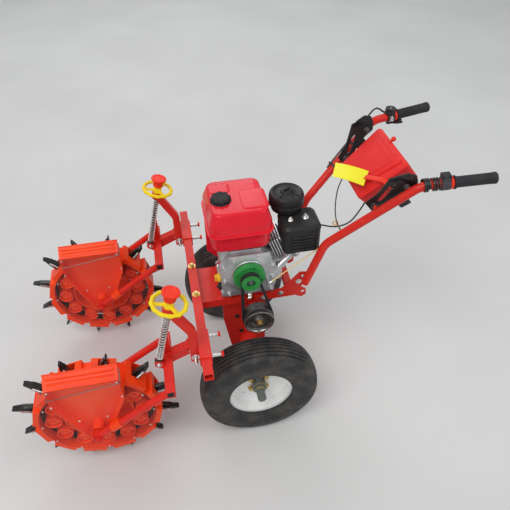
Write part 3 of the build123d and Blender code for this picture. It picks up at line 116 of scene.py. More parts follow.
# Looks: a slot and a finish
ZINC, BRASS = ("zinc", "zinc"), ("zinc", "brass")
IRON, ALLOY = ("dark_steel", "iron"), ("cast_alloy", "alloy")
BLACK_STEEL, BLACK_PLASTIC = ("black_steel", "satin_black"), ("black_plastic", "satin_black")
ENGINE_PLASTIC, RUBBERY = ("black_plastic", "engine_black"), ("black_plastic", "grip_rubber")
# The hole finish below is near-black painted shade, laid as sheets in slots, vents, grooves and open tube
# ends
PAINTED_HOLE_SHADE, SHEATH = ("black_steel", "painted_hole_shade"), ("cable_black", "cable_sheath")
RED_ENAMEL, RED_PLASTIC = ("red_enamel", "tank_red"), ("red_plastic", "cap_red")
ORANGE, AMBER = ("orange_plastic", "drum_orange"), ("yellow_plastic", "dipstick_yellow")


# Shapes as functions of two parameters

def floats(values):
    """Values as an array of floats."""
    return np.asarray(values, float)


def in_frame(points):
    """Points of the drawing, in metres of the part's frame."""
    return (floats(points) + (AXLE_X, 0, 0)) * MM


def unit(vectors):
    """Vectors divided by their own lengths."""
    vectors = floats(vectors)
    return vectors / np.linalg.norm(vectors, axis=-1, keepdims=True)


def turns(count):
    """Evenly spaced angles round a circle."""
    return np.linspace(0, 2 * np.pi, count, endpoint=False)


def spoke(angle):
    """A direction square to the axles: (cos t, 0, sin t)."""
    return np.array((math.cos(angle), 0, math.sin(angle)))


def square_to(axis):
    """Two unit vectors square to an axis and to each other."""
    axis = unit(axis)
    other = UP if abs(axis[2]) < 0.9 else AHEAD
    first = unit(np.cross(other, axis))
    return first, np.cross(axis, first)


def surface(points, wrap_rows=False, wrap_cols=False):
    """A grid of points with a face between each two neighbouring rows and columns."""
    rows, cols = points.shape[:2]
    number = np.arange(rows * cols).reshape(rows, cols)
    if wrap_rows:
        number = np.vstack([number, number[:1]])
    if wrap_cols:
        number = np.hstack([number, number[:, :1]])
    corners = (number[:-1, :-1], number[1:, :-1], number[1:, 1:], number[:-1, 1:])
    return points.reshape(-1, 3), np.stack(corners, axis=-1).reshape(-1, 4).tolist()


def turned(profile, centre, axis, steps=48, wave=None):
    """A profile of (height, radius) about an axis: centre + height * axis + radius * (cos t, sin t)."""
    height, radius = floats(profile).T
    angle = turns(steps)
    first, second = square_to(axis)
    spokes = np.cos(angle)[:, None] * first + np.sin(angle)[:, None] * second
    reach = np.repeat(radius[:, None], steps, axis=1)
    if wave is not None:
        reach = reach + wave(height[:, None], radius[:, None], angle[None, :])
    points = floats(centre) + height[:, None, None] * unit(axis) + reach[..., None] * spokes
    closed = bool(radius[0] > 0 and radius[-1] > 0)
    return surface(points, wrap_rows=closed, wrap_cols=True)


def ring(at, way, low, high, outer, inner=0, steps=32):
    """A square-edged ring between two heights, or a disc when inner is 0."""
    return turned([(low, inner), (low, outer), (high, outer), (high, inner)], at, way, steps)


def carried(path, section, up=UP, scale=None):
    """A closed section of (sideways, upward) offsets carried along a path, with its ends closed.

    Sideways is tangent x up, and upward is sideways x tangent.
    """
    path, section = floats(path), floats(section)
    tangent = unit(np.gradient(path, axis=0))
    sideways = unit(np.cross(tangent, up))
    upward = np.cross(sideways, tangent)
    scale = np.ones(len(path)) if scale is None else floats(scale)
    offsets = section[None, :, :, None] * np.stack([sideways, upward], axis=1)[:, None]
    rows = path[:, None] + offsets.sum(axis=2) * scale[:, None, None]
    start = np.repeat(path[:1, None], len(section), axis=1)
    end = np.repeat(path[-1:, None], len(section), axis=1)
    return surface(np.concatenate([start, rows, end]), wrap_cols=True)


def circle(radius, sides=12, tall=1):
    """Points round a circle, or an ellipse when tall isn't 1."""
    angle = turns(sides)
    return np.stack([radius * np.cos(angle), radius * tall * np.sin(angle)], axis=1)


def tube(path, radius, sides=12, up=UP, scale=None):
    """A round bar along a path."""
    return carried(path, circle(radius, sides), up, scale)


def rod(start, end, radius, sides=12):
    """A straight round bar between two points."""
    start, end = floats(start), floats(end)
    return ring(start, end - start, 0, float(np.linalg.norm(end - start)), radius, steps=sides)


def line(points, steps=8):
    """A smooth path through points: cubic arcs between each pair, steps to each."""
    points = floats(points)
    padded = np.vstack([2 * points[0] - points[1], points, 2 * points[-1] - points[-2]])
    t = np.linspace(0, 1, steps, endpoint=False)[None, :, None]
    a, b, c, d = (padded[i:len(padded) - 3 + i, None] for i in range(4))
    arcs = 0.5 * (2 * b + (c - a) * t + (2 * a - 5 * b + 4 * c - d) * t**2 + (3 * b - a - 3 * c + d) * t**3)
    return np.vstack([arcs.reshape(-1, 3), points[-1:]])


def coil(start, axis, radius, wire, turns, length, steps=24, sides=8, dense=0):
    """A wire wound round an axis: radius * (cos t, sin t) with a rise that slows by dense at both ends."""
    share = np.linspace(0, 1, int(turns * steps) + 1)
    rise = share - dense * np.sin(2 * np.pi * share) / (2 * np.pi)
    angle = 2 * np.pi * turns * share
    first, second = square_to(axis)
    path = (
        floats(start) + (rise * length)[:, None] * unit(axis)
        + radius * (np.cos(angle)[:, None] * first + np.sin(angle)[:, None] * second)
    )
    return tube(path, wire, sides, up=unit(axis))


def slab(outline, origin, x_way, y_way, thick):
    """A closed outline of (x, y) on two directions, carried by its thickness along their cross."""
    outline = floats(outline)
    flat = floats(origin) + outline[:, :1] * unit(x_way) + outline[:, 1:] * unit(y_way)
    rise = unit(np.cross(x_way, y_way)) * thick
    points, faces = surface(np.stack([flat, flat + rise]), wrap_cols=True)
    count = len(outline)
    return points, faces + [list(range(count)), list(range(count, 2 * count))]


def round_rect(width, height, corner, steps=6):
    """Points round a rectangle with quarter-circle corners."""
    angle = np.linspace(0, np.pi / 2, steps)
    arc = corner * np.stack([np.cos(angle), np.sin(angle)], axis=1)
    back = arc[:, ::-1]
    middle = np.array((width / 2 - corner, height / 2 - corner))
    return np.vstack([
        arc + middle, back * (-1, 1) + middle * (-1, 1), -arc - middle, back * (1, -1) + middle * (1, -1)])


def rounded(corners, reach, steps=6):
    """A polygon with soft corners: (1-t)^2 a + 2t(1-t) corner + t^2 b, a and b a reach along its sides."""
    corners = floats(corners)
    before = corners + reach * unit(np.roll(corners, 1, axis=0) - corners)
    after = corners + reach * unit(np.roll(corners, -1, axis=0) - corners)
    t = np.linspace(0, 1, steps)[None, :, None]
    arcs = (1 - t) ** 2 * before[:, None] + 2 * t * (1 - t) * corners[:, None] + t**2 * after[:, None]
    return arcs.reshape(-1, corners.shape[1])


def stacked(outline, levels, origin, x_way=AHEAD, y_way=LEFT):
    """A closed outline p lifted in levels: origin + (1 - inset / |p|) p + height * normal, ends closed."""
    outline = floats(outline)
    inset, height = floats(levels).T
    flat = outline - inset[:, None, None] * unit(outline)
    flat = np.concatenate([flat[:1] * 0, flat, flat[:1] * 0])
    height = np.concatenate([height[:1], height, height[-1:]])
    x_way, y_way = unit(x_way), unit(y_way)
    rise = height[:, None, None] * np.cross(x_way, y_way)
    return surface(
        floats(origin) + flat[..., :1] * x_way + flat[..., 1:] * y_way + rise, wrap_cols=True)


def washer(at, way, radius, thick):
    """A round disc with a soft edge."""
    profile = [(0, 0), (0, radius), (thick * 0.7, radius), (thick, radius - thick * 0.3), (thick, 0)]
    return turned(profile, at, way, 32)


def dome(at, way, radius, tall):
    """A rounded button: radius * cos t out and tall * sin t up."""
    t = np.linspace(0, np.pi / 2, 7)
    return turned(np.vstack([(0, 0), np.stack([tall * np.sin(t), radius * np.cos(t)], axis=1)]), at, way, 20)


def heads(places, way, flats, tall, under=1.6):
    """Six-sided heads with their top corners turned down, each on a round washer."""
    radius = flats / math.sqrt(3)
    head = [(under, 0), (under, radius), (tall * 0.82, radius), (tall, radius * 0.84), (tall, 0)]
    return [part for at in places for part in (
        turned(head, at, way, 6), ring(at, way, 0, under, radius * 1.45, steps=20))]


def both_ends(at, reach, flats, tall):
    """The head and nut of a bolt across the machine, each a reach from its middle."""
    return heads([at + reach * LEFT], LEFT, flats, tall) + heads([at - reach * LEFT], -LEFT, flats, tall)


def nut_on_stud(at, way, flats, tall, radius, low, high):
    """A nut, and its stud's end from low to high above the nut's foot."""
    at = floats(at)
    return heads([at], way, flats, tall) + [rod(at + way * low, at + way * high, radius)]


def smoothstep(value, low, high):
    """A soft step from 0 at low to 1 at high."""
    share = np.clip((value - low) / (high - low), 0, 1)
    return share * share * (3 - 2 * share)


def placed(name, data):
    """A new object in the scene."""
    made = bpy.data.objects.new(name, data)
    bpy.context.scene.collection.objects.link(made)
    return made


def piece(name, parts, look, body="root", bevel=0, angle=35, replaces=()):
    """Joins surfaces into one mesh in the part's frame, closes its poles and rides it on a body."""
    slot, finish = look
    points, faces, count = [], [], 0
    for corners, patch in parts:
        points.append(corners)
        faces += [[number + count for number in face] for face in patch]
        count += len(corners)
    places = in_frame(np.concatenate(points))
    mesh = bpy.data.meshes.new(name)
    mesh.from_pydata(places.tolist(), [], faces)
    shape = bmesh.new()
    shape.from_mesh(mesh)
    bmesh.ops.remove_doubles(shape, verts=shape.verts, dist=2e-6)
    bmesh.ops.dissolve_degenerate(shape, edges=shape.edges, dist=1e-7)
    bmesh.ops.recalc_face_normals(shape, faces=shape.faces)
    shape.to_mesh(mesh)
    shape.free()
    mesh.shade_smooth()
    mesh.set_sharp_from_angle(angle=math.radians(angle))
    made = placed(name, mesh)
    mesh.materials.append(FINISHES[finish])
    if bevel:
        edge = made.modifiers.new("edge", "BEVEL")
        edge.width = bevel * MM
        edge.segments = 2
        edge.limit_method = "ANGLE"
        edge.harden_normals = True
    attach(made, body)
    if replaces:
        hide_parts(*replaces)
    return made


# Finishes

def tree_of(name):
    """A new material with its nodes, links and shader."""
    material = bpy.data.materials.new(name)
    material.use_nodes = True
    tree = material.node_tree
    return material, tree, tree.nodes["Principled BSDF"]


def add_node(tree, kind, **values):
    """A node of one kind with its settings."""
    node = tree.nodes.new(kind)
    for key, value in values.items():
        setattr(node, key, value)
    return node


def feed(tree, socket, value):
    """Gives a socket either a link or a value of its own."""
    if isinstance(value, bpy.types.NodeSocket):
        tree.links.new(value, socket)
    else:
        socket.default_value = value


def dress(tree, shader, **values):
    """Feeds the shader's inputs: Base_Color stands for Base Color."""
    for key, value in values.items():
        feed(tree, shader.inputs[key.replace("_", " ")], value)


def object_place(tree):
    """The object's own coordinates, in metres."""
    return add_node(tree, "ShaderNodeTexCoord").outputs["Object"]


def noise(tree, scale, detail):
    """Noise on the object's own coordinates, in cycles a metre."""
    made = add_node(tree, "ShaderNodeTexNoise")
    made.inputs["Scale"].default_value = scale
    made.inputs["Detail"].default_value = detail
    tree.links.new(object_place(tree), made.inputs["Vector"])
    return made.outputs["Fac"]


def spread(tree, value, low, high, to_low=0, to_high=1):
    """Maps a value from one span to another, clamped at its ends."""
    made = add_node(tree, "ShaderNodeMapRange")
    for key, number in (("From Min", low), ("From Max", high), ("To Min", to_low), ("To Max", to_high)):
        made.inputs[key].default_value = number
    tree.links.new(value, made.inputs["Value"])
    return made.outputs["Result"]


def clouds(tree, scale, detail, low, high, to_low=0, to_high=1):
    """Noise mapped from one span to another."""
    return spread(tree, noise(tree, scale, detail), low, high, to_low, to_high)


def calculated(tree, operation, *values):
    """The result of one operation on sockets or numbers."""
    made = add_node(tree, "ShaderNodeMath", operation=operation)
    for socket, value in zip(made.inputs, values):
        feed(tree, socket, value)
    return made.outputs[0]


def mixed(tree, share, first, second):
    """One colour laid over another by a share."""
    made = add_node(tree, "ShaderNodeMix", data_type="RGBA")
    tree.links.new(share, made.inputs[0])
    for socket, colour in ((made.inputs[6], first), (made.inputs[7], second)):
        feed(tree, socket, (*colour, 1) if isinstance(colour, tuple) else colour)
    return made.outputs[2]


def bumped(tree, shader, scale, detail, depth, strength=1):
    """Bump from noise, its depth in millimetres."""
    made = add_node(tree, "ShaderNodeBump")
    made.inputs["Distance"].default_value = depth * MM
    made.inputs["Strength"].default_value = strength
    tree.links.new(noise(tree, scale, detail), made.inputs["Height"])
    tree.links.new(made.outputs["Normal"], shader.inputs["Normal"])


def split_axes(tree, vector):
    """A vector's three parts."""
    made = add_node(tree, "ShaderNodeSeparateXYZ")
    tree.links.new(vector, made.inputs[0])
    return made.outputs


DUST_COLOUR = (0.36, 0.32, 0.26)
CHIP_COLOUR = (0.22, 0.20, 0.18)
CHIP_COLOURS = {"beak_steel": (0.40, 0.39, 0.38), "cable_sheath": (0.35, 0.35, 0.35)}
ROUGH_SPREAD = 0.12


def surface_finish(name, colour, rough, metal, vary, cloud, grain, depth, dust, chips, coat, shine):
    """Paint, casting, plastic or rubber: clouded colour, chips, dust on what faces up, fine grain."""
    material, tree, shader = tree_of(name)
    dark = tuple(c * (1 - vary) for c in colour)
    light = tuple(min(1, c * (1 + vary) + 0.004) for c in colour)
    base = mixed(tree, clouds(tree, cloud, 4, 0.32, 0.68), dark, light)
    if chips:
        mark = clouds(tree, 95, 7, 0.7 - chips, 0.735 - chips)
        base = mixed(tree, mark, base, CHIP_COLOURS.get(name, CHIP_COLOUR))
    if dust:
        normal = add_node(tree, "ShaderNodeNewGeometry").outputs["Normal"]
        facing_up = spread(tree, split_axes(tree, normal)["Z"], 0.1, 0.95)
        settled = clouds(tree, 26, 6, 0.38, 0.75, 0, dust)
        base = mixed(tree, calculated(tree, "MULTIPLY", facing_up, settled), base, DUST_COLOUR)
    glossy, dull = max(0.03, rough - ROUGH_SPREAD / 2), rough + ROUGH_SPREAD / 2
    worn = clouds(tree, 38, 5, 0.3, 0.7, glossy, dull)
    dress(tree, shader, Base_Color=base, Roughness=worn, Metallic=metal, Specular_IOR_Level=shine)
    bumped(tree, shader, grain, 2, depth)
    if coat:
        dress(tree, shader, Coat_Weight=coat, Coat_Roughness=0.06)
    return material


def finned_finish(name, colour, gap_shade_colour, rough):
    """Cast fins with painted shade in the gaps between them: FIN_T thick and FIN_PITCH apart, along
    CYLINDER_WAY from the crank.
    """
    material, tree, shader = tree_of(name)
    reach = add_node(tree, "ShaderNodeVectorMath", operation="DOT_PRODUCT")
    tree.links.new(object_place(tree), reach.inputs[0])
    reach.inputs[1].default_value = CYLINDER_WAY / MM / FIN_PITCH
    crank_reach = float((CRANK + (AXLE_X, 0, 0)) @ CYLINDER_WAY)
    first = (crank_reach + FIRST_FIN - (FIN_PITCH - FIN_T) / 2) / FIN_PITCH
    share = calculated(tree, "FRACT", calculated(tree, "SUBTRACT", reach.outputs["Value"], first))
    from_middle = calculated(tree, "ABSOLUTE", calculated(tree, "SUBTRACT", share, 0.5))
    half = FIN_T / FIN_PITCH / 2
    # The gaps between the fins get painted shade, a darker colour, and a rougher surface
    shaded_gap = spread(tree, from_middle, half + 0.01, half + 0.05)
    dull = spread(tree, shaded_gap, 0, 1, rough, 0.8)
    dress(tree, shader, Base_Color=mixed(tree, shaded_gap, colour, gap_shade_colour), Roughness=dull, Metallic=0.85)
    bumped(tree, shader, 520, 2, 0.2)
    return material


def clear_finish(name, colour, rough, shows):
    """Clear plastic sheet: mostly see-through, with haze and faint scratches in its gloss."""
    material, tree, shader = tree_of(name)
    haze = clouds(tree, 30, 6, 0.35, 0.75)
    scratched = clouds(tree, 120, 8, 0.3, 0.8, rough, rough + 0.14)
    dress(
        tree, shader, Base_Color=mixed(tree, haze, colour, tuple(c * 0.9 for c in colour)),
        Roughness=scratched, Alpha=shows, Coat_Weight=1, Coat_Roughness=0.03,
    )
    bumped(tree, shader, 14, 2, 0.6, 0.35)
    return material


def dyed_finish(name, colour, deep):
    """Moulded plastic that lets a little light in: colour deepens in slow clouds, with a soft gloss."""
    material, tree, shader = tree_of(name)
    dress(
        tree, shader, Base_Color=mixed(tree, clouds(tree, 11, 3, 0.3, 0.7), colour, deep),
        Roughness=clouds(tree, 60, 6, 0.3, 0.7, 0.3, 0.44),
        Subsurface_Weight=0.12, Subsurface_Radius=(0.02, 0.004, 0.001), Subsurface_Scale=0.3,
        Coat_Weight=0.04, Specular_IOR_Level=0.2,
    )
    bumped(tree, shader, 160, 3, 0.025)
    return material


def tyre_finish(name):
    """Black rubber with tan dust in streaks and fine specks."""
    material, tree, shader = tree_of(name)
    streak = clouds(tree, 22, 8, 0.4, 0.72, 0, 0.75)
    fine = clouds(tree, 260, 4, 0.35, 0.7)
    dusty = calculated(tree, "MULTIPLY", streak, fine)
    dress(
        tree, shader, Base_Color=mixed(tree, dusty, (0.016, 0.016, 0.017), (0.17, 0.145, 0.11)),
        Roughness=clouds(tree, 70, 5, 0.3, 0.7, 0.42, 0.7),
    )
    bumped(tree, shader, 380, 4, 0.12)
    return material


def wire_finish(name):
    """A black sheath as far as SHEATH_END, and the bare gold wire ahead of it."""
    material, tree, shader = tree_of(name)
    ahead = split_axes(tree, object_place(tree))["X"]
    end, soft = (SHEATH_END[0] + AXLE_X) * MM, 0.5 * MM
    bare = spread(tree, ahead, end - soft, end + soft)
    gold = mixed(tree, clouds(tree, 300, 4, 0.35, 0.7), (0.62, 0.43, 0.14), (0.80, 0.62, 0.28))
    dress(
        tree, shader, Base_Color=mixed(tree, bare, (0.018, 0.018, 0.019), gold),
        Metallic=spread(tree, ahead, end - soft, end + soft, 0, 0.8),
        Roughness=clouds(tree, 200, 4, 0.3, 0.7, 0.25, 0.4),
    )
    bumped(tree, shader, 900, 2, 0.08)
    return material


# Colour, roughness, metal, colour spread, clouds and grain in cycles a metre, grain depth in
# millimetres, dust, chips, coat, shine
SURFACES = {
    "frame_red": ((0.70, 0.022, 0.012), 0.34, 0, 0.1, 9, 420, 0.04, 0.05, 0.005, 0.08, 0.2),
    "tank_red": ((0.76, 0.010, 0.026), 0.26, 0, 0.06, 9, 420, 0.015, 0.02, 0, 0.22, 0.2),
    "case_red": ((0.78, 0.022, 0.020), 0.42, 0, 0.07, 9, 900, 0.05, 0.02, 0, 0, 0.2),
    "cap_red": ((0.84, 0.036, 0.014), 0.38, 0, 0.07, 9, 700, 0.04, 0.02, 0, 0, 0.2),
    "wheel_yellow": ((0.87, 0.66, 0.006), 0.38, 0, 0.05, 9, 600, 0.05, 0.04, 0, 0, 0.25),
    "engine_black": ((0.017, 0.017, 0.018), 0.42, 0, 0.2, 9, 700, 0.07, 0.05, 0, 0, 0.25),
    "satin_black": ((0.020, 0.020, 0.021), 0.36, 0, 0.2, 9, 420, 0.05, 0.05, 0.005, 0.08, 0.25),
    "grip_rubber": ((0.022, 0.022, 0.024), 0.62, 0, 0.2, 9, 900, 0.12, 0.04, 0, 0, 0.25),
    "switch_grey": ((0.060, 0.060, 0.065), 0.5, 0, 0.15, 9, 900, 0.06, 0, 0, 0, 0.25),
    "alloy": ((0.62, 0.63, 0.64), 0.38, 0.9, 0.26, 16, 520, 0.22, 0.1, 0, 0, 0.5),
    "clutch_green": ((0.022, 0.25, 0.045), 0.33, 0, 0.1, 9, 420, 0.04, 0.04, 0.01, 0.1, 0.25),
    "iron": ((0.17, 0.165, 0.16), 0.42, 0.85, 0.2, 9, 300, 0.08, 0.15, 0, 0, 0.5),
    "belt_black": ((0.018, 0.018, 0.018), 0.7, 0, 0.25, 9, 500, 0.1, 0.06, 0, 0, 0.25),
    "rod_steel": ((0.070, 0.065, 0.060), 0.4, 0.8, 0.2, 9, 600, 0.04, 0, 0, 0, 0.5),
    "zinc": ((0.74, 0.74, 0.72), 0.26, 1, 0.12, 40, 700, 0.03, 0, 0, 0, 0.5),
    "brass": ((0.62, 0.45, 0.18), 0.32, 1, 0.16, 60, 700, 0.03, 0, 0, 0, 0.5),
    "beak_steel": ((0.050, 0.047, 0.046), 0.26, 0.75, 0.25, 9, 420, 0.05, 0, 0.03, 0, 0.5),
    "rim_white": ((0.88, 0.88, 0.86), 0.34, 0, 0.04, 9, 420, 0.05, 0.08, 0.008, 0.1, 0.5),
    "hub_green": ((0.13, 0.15, 0.13), 0.5, 0.3, 0.2, 9, 300, 0.15, 0.2, 0, 0, 0.5),
    "tag_yellow": ((0.87, 0.80, 0.01), 0.4, 0, 0.04, 9, 90, 0.3, 0, 0, 0, 0.5),
    # Painted shade: near-black, laid in slots, vents, grooves and open tube ends
    "painted_hole_shade": ((0.006, 0.005, 0.005), 0.75, 0, 0.2, 9, 300, 0.05, 0, 0, 0, 0.5),
    "dipstick_yellow": ((0.86, 0.50, 0.02), 0.35, 0, 0.06, 9, 500, 0.04, 0.08, 0, 0, 0.5),
    "cable_sheath": ((0.018, 0.018, 0.019), 0.32, 0, 0.2, 9, 420, 0.05, 0, 0.04, 0, 0.5),
}
FINISHES = {name: surface_finish(name, *values) for name, values in SURFACES.items()}
FINISHES |= {
    "drum_orange": dyed_finish("drum_orange", (1, 0.085, 0.010), (0.92, 0.050, 0.010)),
    "clear_sheet": clear_finish("clear_sheet", (0.72, 0.66, 0.64), 0.05, 0.025),
    # The second colour is the painted shade between the fins
    "finned_alloy": finned_finish("finned_alloy", (0.74, 0.75, 0.76), (0.10, 0.10, 0.105), 0.34),
    "clutch_wire": wire_finish("clutch_wire"),
    "tyre_black": tyre_finish("tyre_black"),
}

FINISH_NODES = {
    "frame_red": "deck toolbar gear_case handle_brackets handlebar clamp swing_frame fork",
    "grip_rubber": "grip", "satin_black": "control console_bracket", "case_red": "console",
    "alloy": "crankcase carburettor", "finned_alloy": "cylinder", "tank_red": "fuel_tank shroud",
    "engine_black": "fuel_cap air_cleaner muffler", "clutch_green": "clutch",
    "belt_black": "v_belt throttle_cable clutch_cable", "iron": "driven_pulley", "tyre_black": "tyre",
    "rim_white": "rim", "hub_green": "hub", "wheel_yellow": "handwheel", "drum_orange": "hopper drum_shell",
    "clear_sheet": "hopper_window drum_cover", "cap_red": "screw", "zinc": "spring",
    "beak_steel": "drum_beaks",
}
CAD_FINISHES = {node: finish for finish, nodes in FINISH_NODES.items() for node in nodes.split()}
for node_name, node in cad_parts.items():
    plain = node_name.removesuffix("_left").removesuffix("_right")
    for slot in node.material_slots:
        slot.link = "OBJECT"
        slot.material = FINISHES[CAD_FINISHES[plain]]


# Cables

def cable(name, route, radius, finish, replaced):
    """A cable as a smooth spline with the route's points as its control points."""
    curve = bpy.data.curves.new(name, "CURVE")
    curve.dimensions = "3D"
    spline = curve.splines.new("NURBS")
    spline.points.add(len(route) - 1)
    places = in_frame(route)
    for point, place in zip(spline.points, places):
        point.co = (*place, 1)
    spline.order_u = 3
    spline.use_endpoint_u = True
    curve.resolution_u = 12
    curve.bevel_depth = radius * MM
    curve.bevel_resolution = 3
    curve.use_fill_caps = True
    curve.materials.append(FINISHES[finish])
    made = placed(name, curve)
    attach(made, "root")
    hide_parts(replaced)


cable("throttle_line", THROTTLE_ROUTE, THROTTLE_R, "belt_black", "throttle_cable")
cable("clutch_line", CLUTCH_ROUTE, CLUTCH_CABLE_R, "clutch_wire", "clutch_cable")


# Wheels

def tyre_profile():
    """Round a tyre's section: bead, bulged flank with fine rings, crowned tread with grooves, flank."""
    angle = np.linspace(-1, 0.86, 26)
    flank_in = TYRE_HALF + 12 * np.cos(angle * 1.35)
    flank_r = FLANK_MID + FLANK_REACH * angle
    rings = RING_TALL * np.cos(np.clip((flank_r - 118) / 60, 0, 1) * 8 * np.pi)
    flank = np.stack([flank_in + rings, flank_r], axis=1)
    place = np.linspace(-43.5, 43.5, 117)
    crown = TYRE_R - 8 * (place / TYRE_HALF) ** 2
    cut = sum(smoothstep(GROOVE_HALF - np.abs(place - groove), 0, 1.3) for groove in GROOVES)
    tread = np.stack([-place, crown - GROOVE_DEPTH * np.clip(cut, 0, 1)], axis=1)
    seat = [(-34.8, 111.2), (-34.8, 101.2), (34.8, 101.2), (34.8, 111.2)]
    return np.vstack([seat, flank, tread, (flank * (-1, 1))[::-1]])


for hand, s in SIDES:
    wheel, outward, body = np.array((0, s * WHEEL_Y, TYRE_R)), s * LEFT, f"wheel_{hand}"
    piece(f"tyre_rubber_{hand}", [turned(tyre_profile(), wheel, outward, 120)], ("tyre", "tyre_black"), body,
          angle=50, replaces=(f"tyre_{hand}",))
    around = [wheel - outward * 8 + BOLT_CIRCLE * spoke(turn) for turn in np.radians((45, 135, 225, 315))]
    bolts = heads(around, outward, 15, 11) + heads([wheel + outward * 12], outward, 30, 12)
    piece(f"wheel_bolts_{hand}", bolts, BRASS, body, bevel=0.5)


# Row units

def along(reach, y):
    """A point on the depth screw, a reach up from its eye."""
    return EYE + (0, y, 0) + SCREW_WAY * reach


def wavy(height, radius, angle):
    """Waves round the rim of the handwheel."""
    return 1.3 * np.cos(RIM_WAVES * angle) * smoothstep(radius, 44, 52)


thread = np.arange(22, CAP_LOW, THREAD_STEP)
thread_r = SCREW_R - THREAD_DEPTH * (np.arange(len(thread)) % 2)
rod_profile = np.vstack([(9.6, 0), (9.6, SCREW_R), np.stack([thread, thread_r], axis=1), (CAP_LOW, 0)])
eye_profile = [(-6, 6.2), (-6, 12.4), (-5.4, 13), (5.4, 13), (6, 12.4), (6, 6.2)]
cap_profile = [(CAP_LOW, 0), (CAP_LOW, 17.2), (CAP_LOW + 1, 18)]
cap_profile += [(SCREW_LEN - below, radius) for below, radius in (
    (16, 17.6), (11, 20.5), (7, 26), (4, 27), (1.2, 26.2), (0.2, 24), (0.2, 20), (2.5, 17), (2.5, 0))]
rim_profile = circle(1, 16)[:, ::-1] * (RIM_TALL, RIM_WIDE) + (WHEEL_AT, RIM_R)
hub_profile = [(BOSS_HIGH + up, r) for up, r in ((0.4, 7.6), (0.4, 15), (20, 14.4), (22, 13), (22, 7.6))]
spoke_bend = ((10, -3), (20, -3.5), (32, -3), (46, -1.5))

for hand, s in SIDES:
    y = s * UNIT_Y
    screw_y = y + GOOSE_Y
    foot = along(0, screw_y)
    screw_body = f"screw_{hand}"

    spring = piece(
        f"spring_coil_{hand}",
        [coil(along(SPRING_SEAT + SPRING_WIRE + 0.4, screw_y), SCREW_WAY, SPRING_R, SPRING_WIRE, SPRING_TURNS,
              BOSS_LOW - SPRING_SEAT - 2 * SPRING_WIRE - 1, dense=0.25)],
        ZINC, screw_body, replaces=(f"spring_{hand}",),
    )
    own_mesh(spring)
    piece(
        f"screw_rod_{hand}",
        [turned(rod_profile, foot, SCREW_WAY, 20), ring(foot, SCREW_WAY, 13, 17, 11),
         turned(eye_profile, foot, LEFT, 32)],
        ("zinc", "rod_steel"), screw_body, replaces=(f"screw_{hand}",),
    )
    piece(f"screw_cap_{hand}", [turned(cap_profile, foot, SCREW_WAY, 40)], RED_PLASTIC, screw_body)

    first, second = square_to(SCREW_WAY)
    spokes = []
    for turn in np.radians((90, 210, 330)):
        way = math.cos(turn) * first + math.sin(turn) * second
        bend = [along(WHEEL_AT + rise, screw_y) + way * reach for reach, rise in spoke_bend]
        spokes.append(carried(bend, circle(7.5, 12, 0.42), SCREW_WAY, (1.15, 0.95, 0.95, 1.25)))
    piece(
        f"handwheel_rim_{hand}",
        [turned(rim_profile, foot, SCREW_WAY, 144, wavy), turned(hub_profile, foot, SCREW_WAY, 32), *spokes],
        ("yellow_plastic", "wheel_yellow"), angle=60, replaces=(f"handwheel_{hand}",),
    )
    pivot = np.array((212, y - 30, 457))
    piece(f"pivot_bolt_{hand}", both_ends(pivot, 22, 13, 8) + both_ends(foot, 12.2, 10, 6),
          ZINC, f"arm_{hand}", bevel=0.4)


# Engine

def lobed(height, radius, angle):
    """Eight hollows round the fuel cap."""
    return -4.2 * (0.5 - 0.5 * np.cos(8 * angle)) ** 1.5 * smoothstep(radius, 15, 30)


tank_levels = [
    (14, 692), (11, 694), (10, 700), (5.5, 728), (1.2, 752), (0.2, 753.4), (-5.4, 753.8), (-6, 756),
    (-5.4, 758.2), (0.2, 758.6), (0.8, 761), (1.4, 784), (2.2, 788), (5, 795), (16.5, 820), (18.5, 824.5),
    (22, 827.2), (29, 828.4), (60, 828.8),
]
pad_levels = [(0, 827), (1.2, 828.6), (3.5, 829.9), (7.5, 830.8), (14, 831.2)]
piece(
    "tank_shell",
    [stacked(round_rect(200, 220, 34, 10), tank_levels, (15, 0, 0)),
     stacked(round_rect(84, 108, 16, 8), pad_levels, (-36, 24, 0)),
     stacked(round_rect(70, 60, 16, 8), pad_levels, (62, -48, 0))],
    RED_ENAMEL, angle=50, replaces=("fuel_tank",),
)
lobe_profile = [(0, 0), (0, 30), (1.5, 31.6), (10, 32), (14, 30.5), (16.8, 26), (18, 20), (17, 16), (17, 0)]
cap_at = (65, 15, 828)
piece("fuel_cap_lobes", [turned(lobe_profile, cap_at, UP, 96, lobed), washer(cap_at, UP, 33, 2.5)],
      RUBBERY, angle=50, replaces=("fuel_cap",))

cleaner = np.array((-153, -22, 745))
cleaner_profile = [
    (0, 0), (0, 48), (2, 50), (19, 50), (21, 53), (21.5, 57.4), (23, 58), (29, 58), (30.5, 56.6), (33, 56.6),
    (34.5, 58), (50, 57.4), (56, 55.5), (60, 52.5), (62, 49.5), (62, 45), (60.4, 43), (60.8, 22), (62, 20.5),
    (66, 19), (68, 16), (68, 0),
]
snorkel_way = unit((0.25, -0.97, 0))
piece(
    "cleaner_can",
    [turned(cleaner_profile, cleaner, UP, 72),
     ring((-168, -68, 680), UP, 0, 66, 15),
     stacked(round_rect(38, 20, 7), [(0, 0), (0, 11), (1.2, 13.4), (4, 14.6)],
             cleaner + snorkel_way * 43 + UP * 50, square_to(snorkel_way)[0], snorkel_way),
     tube(cleaner + [(-17, 17, 61), (-34, 30, 61.4)], 2.4, 8),
     tube(cleaner + [(13, 14, 61), (26, 26, 61.4)], 2.4, 8),
     dome(cleaner + (-12, 33, 60.6), UP, 5.5, 2.5),
     tube(cleaner + [(-9, -7, 72), (0, 0, 70), (9, 7, 72)], 4, 10, scale=(1.1, 0.8, 1.1))],
    ENGINE_PLASTIC, angle=50, replaces=("air_cleaner",),
)

